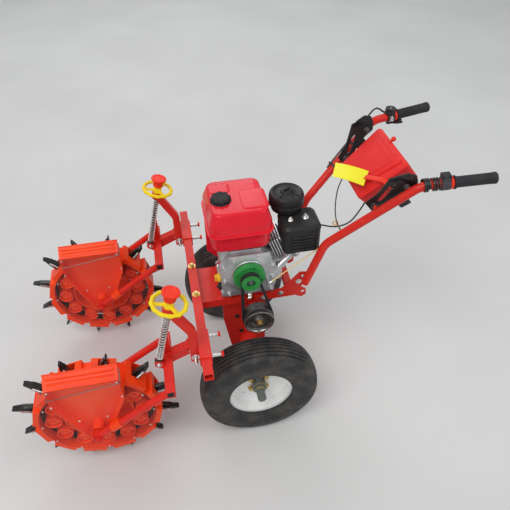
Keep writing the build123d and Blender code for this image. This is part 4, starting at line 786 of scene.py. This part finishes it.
muffler_band = [(0.4, 722), (-1.4, 723), (-1.4, 726), (0.4, 727)]
louvres = [
    tube([(x + across, 92.4, z) for across in (-16, -14, 14, 16)], 4.3, 10, scale=(0.3, 1, 1, 0.3))
    for z in (652, 664, 676, 688, 700) for x in (-204, -162)
]
# Near-black sheets on the muffler's top slots: painted shade inside them
slots = [
    slab(round_rect(13, 3.2, 1.5, 4), (-214 - 9 * column, -6 + 9 * row, 739.6), AHEAD, LEFT, 0.9)
    for column in range(2) for row in range(3)
]
nuts = [part for at in ((-152, 42, 740), (-202, 40, 740)) for part in nut_on_stud(at, UP, 14, 9, 3.6, 8, 14)]
piece("muffler_louvres", [stacked(round_rect(124, 112, 20, 8), muffler_band, (-183, 36, 0)), *louvres],
      ("black_steel", "engine_black"), angle=50)
piece("muffler_slot_shade", slots, PAINTED_HOLE_SHADE)
piece("muffler_nuts", nuts, ZINC, bevel=0.5)
elbow_pipe = line([(-160, 48, 628), (-161, 66, 622), (-166, 80, 628), (-172, 80, 656)])
elbow_port = line([(-84, 84, 560), (-112, 72, 582), (-146, 58, 602), (-166, 48, 622)])
piece(
    "exhaust_elbow",
    [slab(round_rect(46, 30, 8), (-160, 43, 628), (1, 0, 0.36), (0.36, 0, -1), 8),
     tube(elbow_pipe, 11, 16, up=AHEAD), carried(elbow_port, circle(15, 16, 0.7)),
     *heads([(-178, 51, 634), (-143, 51, 622)], LEFT, 9, 7),
     *heads([(-96, 86, 586), (-124, 74, 574)], LEFT, 10, 6)],
    ALLOY, bevel=0.8,
)

cover_outline = np.add((
    (-84, 491), (70, 491), (88, 530), (88, 628), (56, 666), (-46, 666), (-92, 622), (-96, 530)), (2, -585))
cover_bolts = [(-78, 500), (64, 500), (76, 560), (76, 618), (46, 654), (-38, 654), (-82, 614), (-84, 556)]
foot_spots = [(x, y) for x in (80, -88) for y in (62, -62)]
foot_profile = [(-4, 0), (-4, 10), (3, 10), (4, 9), (4, 0)]
ribs = [tube([(75.5, y, 505), (83.5, y, 628)], 3.2, 8) for y in (-52, -26, 0, 26, 52)]
for bend in (((-60, 640), (-72, 600), (-74, 560)), ((40, 640), (62, 600), (66, 560))):
    ribs.append(tube([(x, 99, z) for x, z in bend], 3.2, 8))
piece(
    "crankcase_castings",
    [stacked(rounded(cover_outline, 8), [(17, -1), (16, 1), (17, 3.2), (22, 4)],
             CRANK + (0, 98, 0), AHEAD, -UP),
     washer(CRANK + (0, 101.5, 0), LEFT, 56, 4), *ribs,
     stacked(round_rect(34, 132, 8), [(2, 505), (0, 508), (0, 590), (3, 598)], (-108, 0, 0)),
     *[turned(foot_profile, (x, y, 486), UP, 24) for x, y in foot_spots],
     rod((70, 74, 560), (90, 74, 560), 10, 24)],
    ALLOY, bevel=0.6,
)
piece("crankcase_bolts", heads([(x, 102, z) for x, z in cover_bolts], LEFT, 10, 6)
      + heads([(x, y, 490) for x, y in foot_spots], UP, 12, 8), ZINC, bevel=0.4)
plug_profile = [(0, 0), (0, 13.5), (14, 13.5), (17, 11.5), (17, 6), (22, 5), (22, 0)]
piece("oil_plug", [turned(plug_profile, (81, 74, 520), AHEAD, 8)], ENGINE_PLASTIC, bevel=0.8)
piece(
    "dipstick_cap",
    [turned([(0, 0), (0, 13), (2, 14.5), (9, 14.5), (12, 12), (12, 0)], (88, 74, 560), AHEAD, 36),
     slab(round_rect(9, 26, 4), (99, 74, 560), LEFT, UP, 9)],
    AMBER, bevel=0.8,
)

# Clutch, belt and pulley
groove = [(127.1, 31.8), (130.1, 22.8), (143.9, 22.8), (146.9, 31.8),
          (146.9, 31.4), (143.8, 22.4), (130.2, 22.4), (127.1, 31.4)]
# A black lining in the crank pulley's belt groove: painted shade round the belt
piece("clutch_groove_shade", [turned(groove, CRANK, LEFT, 64)], BLACK_STEEL)
piece(
    "crank_end",
    [ring(CRANK, LEFT, 137.8, 138.6, 14.8),
     turned([(138, 0), (138, 9), (146, 9), (147, 8), (147, 0)], CRANK, LEFT, 32),
     slab(round_rect(5, 8, 1), CRANK + (0, 138, 11), AHEAD, -UP, 8)],
    IRON, bevel=0.4,
)
# Bright machined steel rings on the pulley's face, which also stand in as painted highlights on its edges
piece(
    "pulley_rings_and_highlights",
    [turned([(166.05, 43), (166.05, 51), (166.6, 51.4), (167, 50.5), (167, 43.6)], PULLEY, LEFT, 72),
     turned([(156.2, 21), (156.2, 27), (157.4, 27.4), (157.4, 20.8)], PULLEY, LEFT, 56),
     turned([(156.2, 33), (156.2, 36), (157.2, 36.2), (157.2, 32.8)], PULLEY, LEFT, 56)],
    ("dark_steel", "zinc"), angle=50,
)
# A near-black skin at the bottom of the pulley's spare groove: painted shade
piece("pulley_groove_shade", [ring(PULLEY, LEFT, 150.2, 159.8, 46.05, 46.3, 72)], PAINTED_HOLE_SHADE)
piece("pulley_nut", nut_on_stud(PULLEY + (0, 166, 0), LEFT, 17, 9, 5.5, 6, 13), BRASS, bevel=0.5)
piece("belt_stud", [rod((-6, 89.6, 452), (-6, 89.6, 496), 4.6),
                    *heads([(-6, 89.6, 464), (-6, 89.6, 478)], UP, 12, 7)], ZINC, bevel=0.4)

# Starter side
# Near-black sheets in the starter cover's vents: painted shade inside them
piece("starter_vent_shade", [
    slab(round_rect(26, 7, 3), STARTER + way * 50 + (0, 0.2, 0), way, np.cross(way, LEFT), 0.8)
    for way in map(spoke, turns(14))], PAINTED_HOLE_SHADE)
piece(
    "starter_cap",
    [turned([(0, 0), (0, 27), (2, 27), (3.5, 25), (3.5, 12), (2.5, 10), (2.5, 0)], STARTER, -LEFT, 40),
     turned([(0, 70), (0, 77), (1.5, 76.5), (1.5, 70.5)], STARTER, -LEFT, 72)],
    RED_ENAMEL,
)
piece(
    "starter_grip",
    [carried([(52, -194, 660), (58, -194, 668), (66, -194, 678)], circle(13, 16, 0.6), LEFT, (0.8, 1, 0.8)),
     rod((44, -188, 650), (54, -194, 662), 3)],
    RUBBERY, angle=50,
)
shroud_spots = [(-96, 505), (-98, 664), (84, 716), (92, 540)]
piece("shroud_bolts", heads([(x, -156.5, z) for x, z in shroud_spots], -LEFT, 9, 5), ZINC, bevel=0.4)

# Frame fasteners
piece("toolbar_bolts", [part for y in (71, -71) for part in nut_on_stud((175, y, 495), UP, 16, 9, 5, 7, 12)],
      BRASS, bevel=0.5)
bracket_spots = [(-177, 507), (-193, 528), (-116, 462), (-52, 450)]
case_spots = [(59, 426), (37, 343), (-38, 352), (-50, 428), (24, 262), (-24, 262)]
case_profile = [(0, 4.2), (0, 8), (3, 8), (4, 7), (4, 4.2), (1, 4.2)]
for hand, s in SIDES:
    piece(f"bracket_bolts_{hand}", heads([(x, s * 91, z) for x, z in bracket_spots], s * LEFT, 12, 7),
          ZINC, bevel=0.4)
    sockets = []
    for x, z in case_spots:
        sockets.append(turned(case_profile, (x, s * 62, z), s * LEFT, 24))
        sockets.append(ring((x, s * 62, z), s * LEFT, 0.6, 1.2, 4.4, steps=6))
    piece(f"case_bolts_{hand}", sockets, BLACK_STEEL, angle=50)

# Row unit details

fork_way = unit((DRUM_X - CROSS_X, 0, DRUM_Z - CROSS_Z))
lid_way, lid_down = unit((0, 28, 38)), unit((0, 38, -28))
sleeve_profile = [(0, 12.6), (0, 14.6), (1, 15.6), (37, 15.6), (38, 14.6), (38, 12.6)]
bail_bend = (
    (430, 62, 519), (429, 80, 507), (430, 92.5, 500), (438, 93, 489), (470, 92.5, 485), (560, 92.5, 472),
    (638, 92.5, 461), (648, 88, 459), (648, 70, 459))
window_spots = [(440, 492), (638, 492), (436, 420), (642, 420), (497, 330), (581, 330)]
cup_profile = [
    (-20, 0), (-20, 15), (22, 15), (22, 20.5), (26, 20.5), (27, 19.5), (27, 9), (25, 8), (25, 5), (31, 5),
    (31, 0)]
track_profile = [(-39, 108), (28, 108), (29, 109), (29, 111), (28, 112), (-39, 112)]

for hand, s in SIDES:
    y = s * UNIT_Y
    arm_body, drum_body = f"arm_{hand}", f"drum_{hand}"
    drum = np.array((DRUM_X, y, DRUM_Z))

    piece(f"set_bolts_{hand}", [
        rod((127, y + side, 480), (155, y + side, 480), 5.6, 20) for side in (-40, 40)], ZINC)
    pin_at = np.array((205, y + 21, 461))
    piece(
        f"foot_pin_{hand}",
        heads([pin_at], LEFT, 15, 7) + [
            rod(pin_at, pin_at + (0, 30, 0), 4), washer(pin_at + (0, 26, 0), LEFT, 7, 2),
            coil(pin_at + (0, 9, 0), LEFT, 5.2, 1.1, 6, 16, 14, 6)],
        ZINC, bevel=0.3,
    )
    # Near-black plates at the crossbar's open ends: painted shade inside the tubes
    piece(f"arm_end_shade_{hand}", [
        slab(round_rect(20, 20, 2), (CROSS_X, y + end * 117.6, CROSS_Z), AHEAD, -end * UP, 0.4)
        for end in (1, -1)], PAINTED_HOLE_SHADE, arm_body)
    sleeves = []
    for end in (1, -1):
        base = np.array((458, y + end * 105, 310.6))
        sleeves.append(turned(sleeve_profile, base, fork_way, 36))
        sleeves.append(slab(round_rect(26, 12, 3), base + fork_way * 20 + (0, 0, 14), fork_way, LEFT, 5))
    piece(f"fork_sleeves_{hand}", sleeves, ORANGE, arm_body, bevel=0.6)
    piece(f"axle_nuts_{hand}", both_ends(drum, 118.2, 19, 8), ("red_paint", "frame_red"), arm_body, bevel=0.5)

    lid_mid = np.array((DRUM_X, y + 69, 514))
    ridges = [
        tube([lid_mid + lid_down * down - lid_way * 2.6 + (x, 0, 0) for x in (-98, -93, 93, 98)], 6, 20,
             up=lid_way, scale=(0.4, 1, 1, 0.4)) for down in (-9.5, 9.5)]
    edges = [
        tube([lid_mid + lid_down * down + lid_way * 0.2 + (x, 0, 0) for x in (-106, 106)], 2.2, 10,
             up=lid_way) for down in (-23, 23)]
    piece(f"lid_ridges_{hand}", ridges + edges, ORANGE, arm_body, angle=60)
    bail = line([(x, y + across, z) for x, across, z in bail_bend], 6)
    piece(f"window_bail_{hand}", [tube(bail, 1.3, 8, up=(0, 0.3, 1))], IRON, arm_body)
    piece(f"window_screws_{hand}", [dome((x, y + 90.4, z), LEFT, 3.4, 2) for x, z in window_spots],
          ZINC, arm_body)
    piece(f"window_clips_{hand}", [
        slab(round_rect(16, 22, 3), (x, y + 87, 497), AHEAD, -UP, 6) for x in (439, 639)],
        ("clear_plastic", "clear_sheet"), arm_body, bevel=1)

    cups, springs, cover_screws = [turned(track_profile, drum, LEFT, 96)], [], []
    for turn in turns(BEAKS):
        cups.append(turned(cup_profile, drum + spoke(turn) * CUP_CIRCLE, LEFT, 28))
        cover_screws.append(dome(drum + spoke(turn) * SCREW_CIRCLE + (0, 44.4, 0), LEFT, 3.2, 2))
        beak = turn + np.pi / BEAKS
        out, aside = spoke(beak), spoke(beak + np.pi / 2)
        for level in (13.4, -13.4):
            foot = drum + out * BEAK_CIRCLE + aside * 3 + (0, level, 0)
            springs.append(coil(foot, out, 3.4, 1.1, 8, 34, 10, 5))
    piece(f"seed_rollers_{hand}", cups, ORANGE, drum_body, angle=50)
    piece(f"beak_springs_{hand}", springs, ZINC, drum_body)
    piece(f"cover_screws_{hand}", cover_screws, ZINC, drum_body)


# Handles

rib_reach = np.linspace(10, 104, 95)
grip_profile = np.vstack([
    [(0, 13.8), (0, 18.6), (1.5, 20), (4, 20), (6, 18.4), (9, 16.6)],
    np.stack([rib_reach, 16.2 + 0.35 * np.cos(rib_reach * 2 * np.pi / GRIP_RIB)], axis=1),
    [(108, 16.8), (117, 17.2), (120.4, 17), (122.4, 15.6), (122.9, 13), (122.9, 0), (118.2, 0),
     (118.2, 13.8)],
])
collar_profile = [(1.5, 13.7), (1.5, 17.6), (2.5, 18.6), (8.5, 18.6), (9.5, 17.6), (9.5, 13.7)]
left_way = unit(GRIP_END - GRIP_START)
left_ring = GRIP_END - left_way * (GRIP_LEN + CONTROL_GAP)
for hand, s in SIDES:
    mirror = (1, s, 1)
    way = left_way * mirror
    piece(f"grip_sleeve_{hand}", [turned(grip_profile, GRIP_END * mirror - way * GRIP_LEN, way, 40)],
          ("grip_rubber", "grip_rubber"), angle=50, replaces=(f"grip_{hand}",))
    piece(f"grip_collar_{hand}", [turned(collar_profile, left_ring * mirror, way, 40)], RED_PLASTIC)

# Switch block on the left tube
left_up = unit(UP - left_way * left_way[2])
switch_side = np.cross(left_up, left_way)
block_at = left_ring - left_way * 12 + left_up * 12
block_levels = [(1, -6), (0, -4), (0, 10), (1.5, 12.5), (4, 13.4)]
switch_collar = [
    (-24.4, 13.8), (-24.4, 19.4), (-23, 20.2), (-13, 20.2), (-12.4, 19.6), (-11.6, 19.6), (-11, 20.2),
    (-1, 20.2), (0.4, 19.4), (0.4, 13.8)]
piece(
    "switch_body",
    [stacked(round_rect(25, 31, 5), block_levels, block_at, left_way, switch_side),
     turned(switch_collar, left_ring, left_way, 40)],
    ("black_plastic", "switch_grey"), angle=50,
)
button_levels = [(0, 0), (0, 4), (1, 5.6), (3, 6.4)]
piece("switch_button", [
    stacked(round_rect(14, 17, 4), button_levels, block_at + left_up * 12, left_way, switch_side)],
    RED_PLASTIC, angle=50)
piece("switch_screws", [
    dome(block_at + left_up * 13 + left_way * end + switch_side * 11, left_up, 2.4, 1.2)
    for end in (-8, 8)], ZINC)
loops_from = left_ring - left_way * 74
piece("switch_lead_loops", [
    coil(loops_from, left_way, 17.4, 3.2, 2.5, 16, 28, 10),
    coil(loops_from + left_way * 24, left_way, 17, 3, 2.6, 20, 28, 10)], SHEATH)

# Knob and lever on the right tube
right_way, right_ring = left_way * (1, -1, 1), left_ring * (1, -1, 1)
knob_at = right_ring - right_way * 12 + UP * 26
clamp_at = right_ring - right_way * 13
knob_profile = [
    (0, 0), (0, 17.6), (1.5, 18.6), (4, 18.6), (5, 17.4), (6, 17.4), (7, 18.4), (9, 18), (11.5, 15), (13, 9),
    (13, 0)]
piece("throttle_knob", [turned(knob_profile, knob_at - UP * 15, UP, 48)], BLACK_PLASTIC, angle=50)
piece(
    "throttle_bolts",
    nut_on_stud(knob_at - UP * 2, UP, 11, 6, 3.2, 5, 7.5)
    + nut_on_stud(clamp_at + LEFT * 17, LEFT, 11, 9, 3.2, 7, 14)
    + heads([clamp_at - LEFT * 17], -LEFT, 11, 6),
    ZINC, bevel=0.4,
)
lever = line([
    right_ring + right_way * ahead + LEFT * inward - UP * down
    for ahead, inward, down in ((-6, 0, 22), (16, 12, 24), (34, 20, 22))])
piece("throttle_lever", [carried(lever, circle(7, 16, 0.45), UP, np.linspace(1.1, 0.75, len(lever)))],
      BLACK_PLASTIC, angle=60)

# Sheathed wire clipped along the right handlebar
knee, bend = HANDLE[1:3] * (1, -1, 1)
slope = unit(bend - knee)
outside = unit(np.cross(slope, UP))
outside = outside if outside[1] < 0 else -outside
over = np.cross(outside, slope)
beside = unit(outside + 0.55 * over * np.sign(over[2]))
run = line([clamp_at - right_way * 5 + outside * 19 + UP * 8, bend + slope * 34 + outside * 20 + UP * 6] + [
    bend - slope * back + beside * aside for back, aside in ((22, 20), (90, 18.4), (170, 17.4), (215, 16.4))])
piece("throttle_sheath", [tube(run, 2.9, 10)], SHEATH)
piece("sheath_clips", [
    ring(bend - slope * back + beside * 2.6, slope, -3, 3, 21.6, 14.2) for back in (100, 196)],
    BLACK_PLASTIC, bevel=0.5)

# Console

console_up = unit((-133, 0, 119))
console_out = np.array((console_up[2], 0, -console_up[0]))
console_outline = rounded([(-89.2, -98), (89.2, -118), (89.2, 118), (-89.2, 98)], 18, 8)
console_levels = [
    (40, -76), (9.5, -77), (7, -74), (6.4, -70), (0.6, -9), (0, -6), (0.6, -3), (2.2, -1), (4.5, -0.1),
    (20, 0)]
arc_turn = np.linspace(np.pi / 2, 3 * np.pi / 2, 30)
lobe = np.stack([-28 + 62 * np.cos(arc_turn), -8 - 62 * np.sin(arc_turn)], axis=1)
pad_outline = np.vstack([lobe, [(31, 84), (56, 88), (61, 84), (61, -84), (56, -88), (31, -84)]])
lid_levels = [(1, -2), (0.4, 0.6), (1.2, 3.2), (3.6, 5), (8, 5.6), (20, 5.8)]
step_levels = [(1, 4), (0.5, 6), (1.2, 6.9), (3, 7.4), (12, 7.4)]
pad_at = CONSOLE_MID + console_up * 20
piece(
    "console_shell",
    [stacked(console_outline, console_levels, CONSOLE_MID, console_up, -LEFT),
     stacked(pad_outline, lid_levels, pad_at, console_up, -LEFT),
     stacked(pad_outline * (0.72, 0.76), step_levels, pad_at, console_up, -LEFT)],
    ("red_plastic", "case_red"), angle=50, replaces=("console",),
)
gland_profile = [(-1, 0), (-1, 5), (0, 6.4), (6, 6.8), (8, 8.6), (24, 8.6), (24, 0)]
piece("console_glands", [
    turned(gland_profile, route[0], np.subtract(route[0], route[1]), 24)
    for route in (THROTTLE_ROUTE, CLUTCH_ROUTE)], BLACK_PLASTIC, angle=50)
knob_foot = CONSOLE_MID + console_up * 86 + (0, -20, 0)
ball_profile = [(-8, 0), (-7, 4), (-4, 7), (0, 8), (4, 7), (7, 4), (8, 0)]
piece("console_knob", [
    rod(knob_foot - console_up * 4, knob_foot + console_up * 9 + UP * 0.8, 4.5),
    turned(ball_profile, knob_foot + console_up * 12 + UP * 0.8, UP, 24)], RED_PLASTIC, angle=60)

wing = rounded(
    [(84, 58), (118, 54), (146, 42), (159, 20), (150, -2), (131, -20), (112, -16), (122, 20)], 4, 4)
for hand, s in SIDES:
    low, high = np.array(((-385, s * 136, 831), (-461, s * 170, 910)))
    wing_way = unit(high - low)
    face = unit(np.cross((high - low) * (1, s, 1), console_out)) * (1, s, 1)
    fasteners = []
    for spot in (low, high):
        for side in (face, -face):
            fasteners += [washer(spot + side * 2, side, 11, 2.4), *heads([spot + side * 4], side, 11, 7)]
    wing_up = np.cross(face, wing_way) * s
    piece(f"bracket_wing_{hand}", [slab(wing, low - face * 2, wing_way, wing_up, 4 * s)],
          BLACK_STEEL, bevel=0.5)
    piece(f"console_bolts_{hand}", fasteners, IRON, bevel=0.4)

# Blank tag on its strap, cable tie and ends of the clutch cable's sheath
near_low, near_high, far_high, far_low = np.array((
    (-314, -36, 884), (-397, 37, 887), (-362, 92, 874), (-287, 20, 872)))
u, v = np.meshgrid(np.linspace(0, 1, 29), np.linspace(0, 1, 13))
u, v = u[..., None], v[..., None]
# A plate between the four corners, bowed along u and waved along v
flat = (1 - v) * ((1 - u) * near_low + u * near_high) + v * ((1 - u) * far_low + u * far_high)
sheet = flat + UP * (3 * np.sin(np.pi * u) - 1.5 * np.sin(2 * np.pi * v) * u)
lower = sheet - UP * 0.9
tag = surface(np.concatenate([sheet, lower[::-1]]), wrap_rows=True)
tag_ends = [surface(np.stack([sheet[:, column], lower[:, column]])) for column in (0, -1)]
piece("blank_tag", [tag, *tag_ends], ("yellow_plastic", "tag_yellow"), angle=50)
strap_run = line([(-376, 62, 886), (-392, 84, 892), (-412, 108, 898), (-430, 140, 892), (-436, 154, 886)])
piece("tag_strap", [carried(strap_run, round_rect(17, 1.6, 0.7, 3), (0.3, 0.2, 1))], RED_PLASTIC, angle=50)
tie_run = line([(-330, -10, 658), (-338, -2, 648), (-350, 2, 630), (-359, 3, 616)])
piece("cable_tie", [ring((-330, -18, 651), unit((0.4, 0.9, -0.2)), -2.2, 2.2, 10.4, 9),
                    carried(tie_run, round_rect(4.4, 1.3, 0.5, 3), (1, 0, 0.6))], AMBER)
pull = unit(np.subtract(CABLE_STOP, SHEATH_END))
piece("sheath_ferrules", [
    turned([(-10, 2), (-10, 3.6), (2, 3.6), (3, 3), (3, 2)], SHEATH_END, pull, 20),
    turned([(-9, 2), (-9, 3.8), (4, 3.8), (5, 3), (5, 2)], CABLE_STOP, pull, 20)], ZINC)

# Camera, light and floor

# Square lamps: name, place, the point each faces, power
LAMP_SIDE = 3.4
LAMPS = (
    ("key", (2.2, 2.6, 5.6), (0, 0, 0.3), 170),
    ("fill", (-4.2, 1.8, 4.4), (0, 0, 0.4), 66),
    ("back", (0.3, -4.6, 4.2), (0, 0, 0.4), 66),
)
SKY_COLOUR, SKY_STRENGTH = (0.93, 0.95, 1, 1), 0.52
FLOOR_REACH = 12


def photo_camera():
    """The photograph's camera: yaw and pitch give its direction, then it rolls about it."""
    cos_p, sin_p = math.cos(CAMERA_PITCH), math.sin(CAMERA_PITCH)
    ahead = Vector((cos_p * math.sin(CAMERA_YAW), -cos_p * math.cos(CAMERA_YAW), -sin_p))
    right = ahead.cross(Vector((0, 0, 1))).normalized()
    upward = right.cross(ahead)
    cos_r, sin_r = math.cos(CAMERA_ROLL), math.sin(CAMERA_ROLL)
    right, upward = cos_r * right + sin_r * upward, cos_r * upward - sin_r * right
    data = bpy.data.cameras.new("photo_camera")
    data.sensor_width = SENSOR
    data.lens = SENSOR * CAMERA_FOCUS / PHOTO_SIDE
    data.clip_end = 100
    camera = placed("photo_camera", data)
    turn = Matrix((right, upward, -ahead)).transposed().to_4x4()
    camera.matrix_world = Matrix.Translation(in_frame(CAMERA_AT)) @ turn
    bpy.context.scene.camera = camera


def lay_floor():
    """A plain pale floor with faint mottling."""
    steps = np.linspace(-FLOOR_REACH, FLOOR_REACH, 9)
    across, ahead = np.meshgrid(steps, steps)
    points, faces = surface(np.stack([across, ahead, np.zeros_like(across)], axis=-1))
    mesh = bpy.data.meshes.new("floor")
    mesh.from_pydata(points.tolist(), [], faces)
    floor = placed("floor", mesh)
    material, tree, shader = tree_of("pale_floor")
    tint = mixed(tree, clouds(tree, 1.4, 6, 0.3, 0.7), (0.62, 0.62, 0.60), (0.68, 0.68, 0.66))
    dress(tree, shader, Base_Color=tint, Roughness=0.85)
    mesh.materials.append(material)


photo_camera()
lay_floor()
for name, place, aim, power in LAMPS:
    data = bpy.data.lights.new(name, "AREA")
    data.shape = "SQUARE"
    data.size = LAMP_SIDE
    data.energy = power
    lamp = placed(name, data)
    lamp.location = place
    lamp.rotation_mode = "QUATERNION"
    lamp.rotation_quaternion = (Vector(aim) - Vector(place)).to_track_quat("-Z", "Y")
world = bpy.data.worlds.new("studio")
world.use_nodes = True
background = world.node_tree.nodes["Background"]
background.inputs["Color"].default_value = SKY_COLOUR
background.inputs["Strength"].default_value = SKY_STRENGTH
bpy.context.scene.world = world
bpy.context.scene.view_settings.view_transform = "Standard"
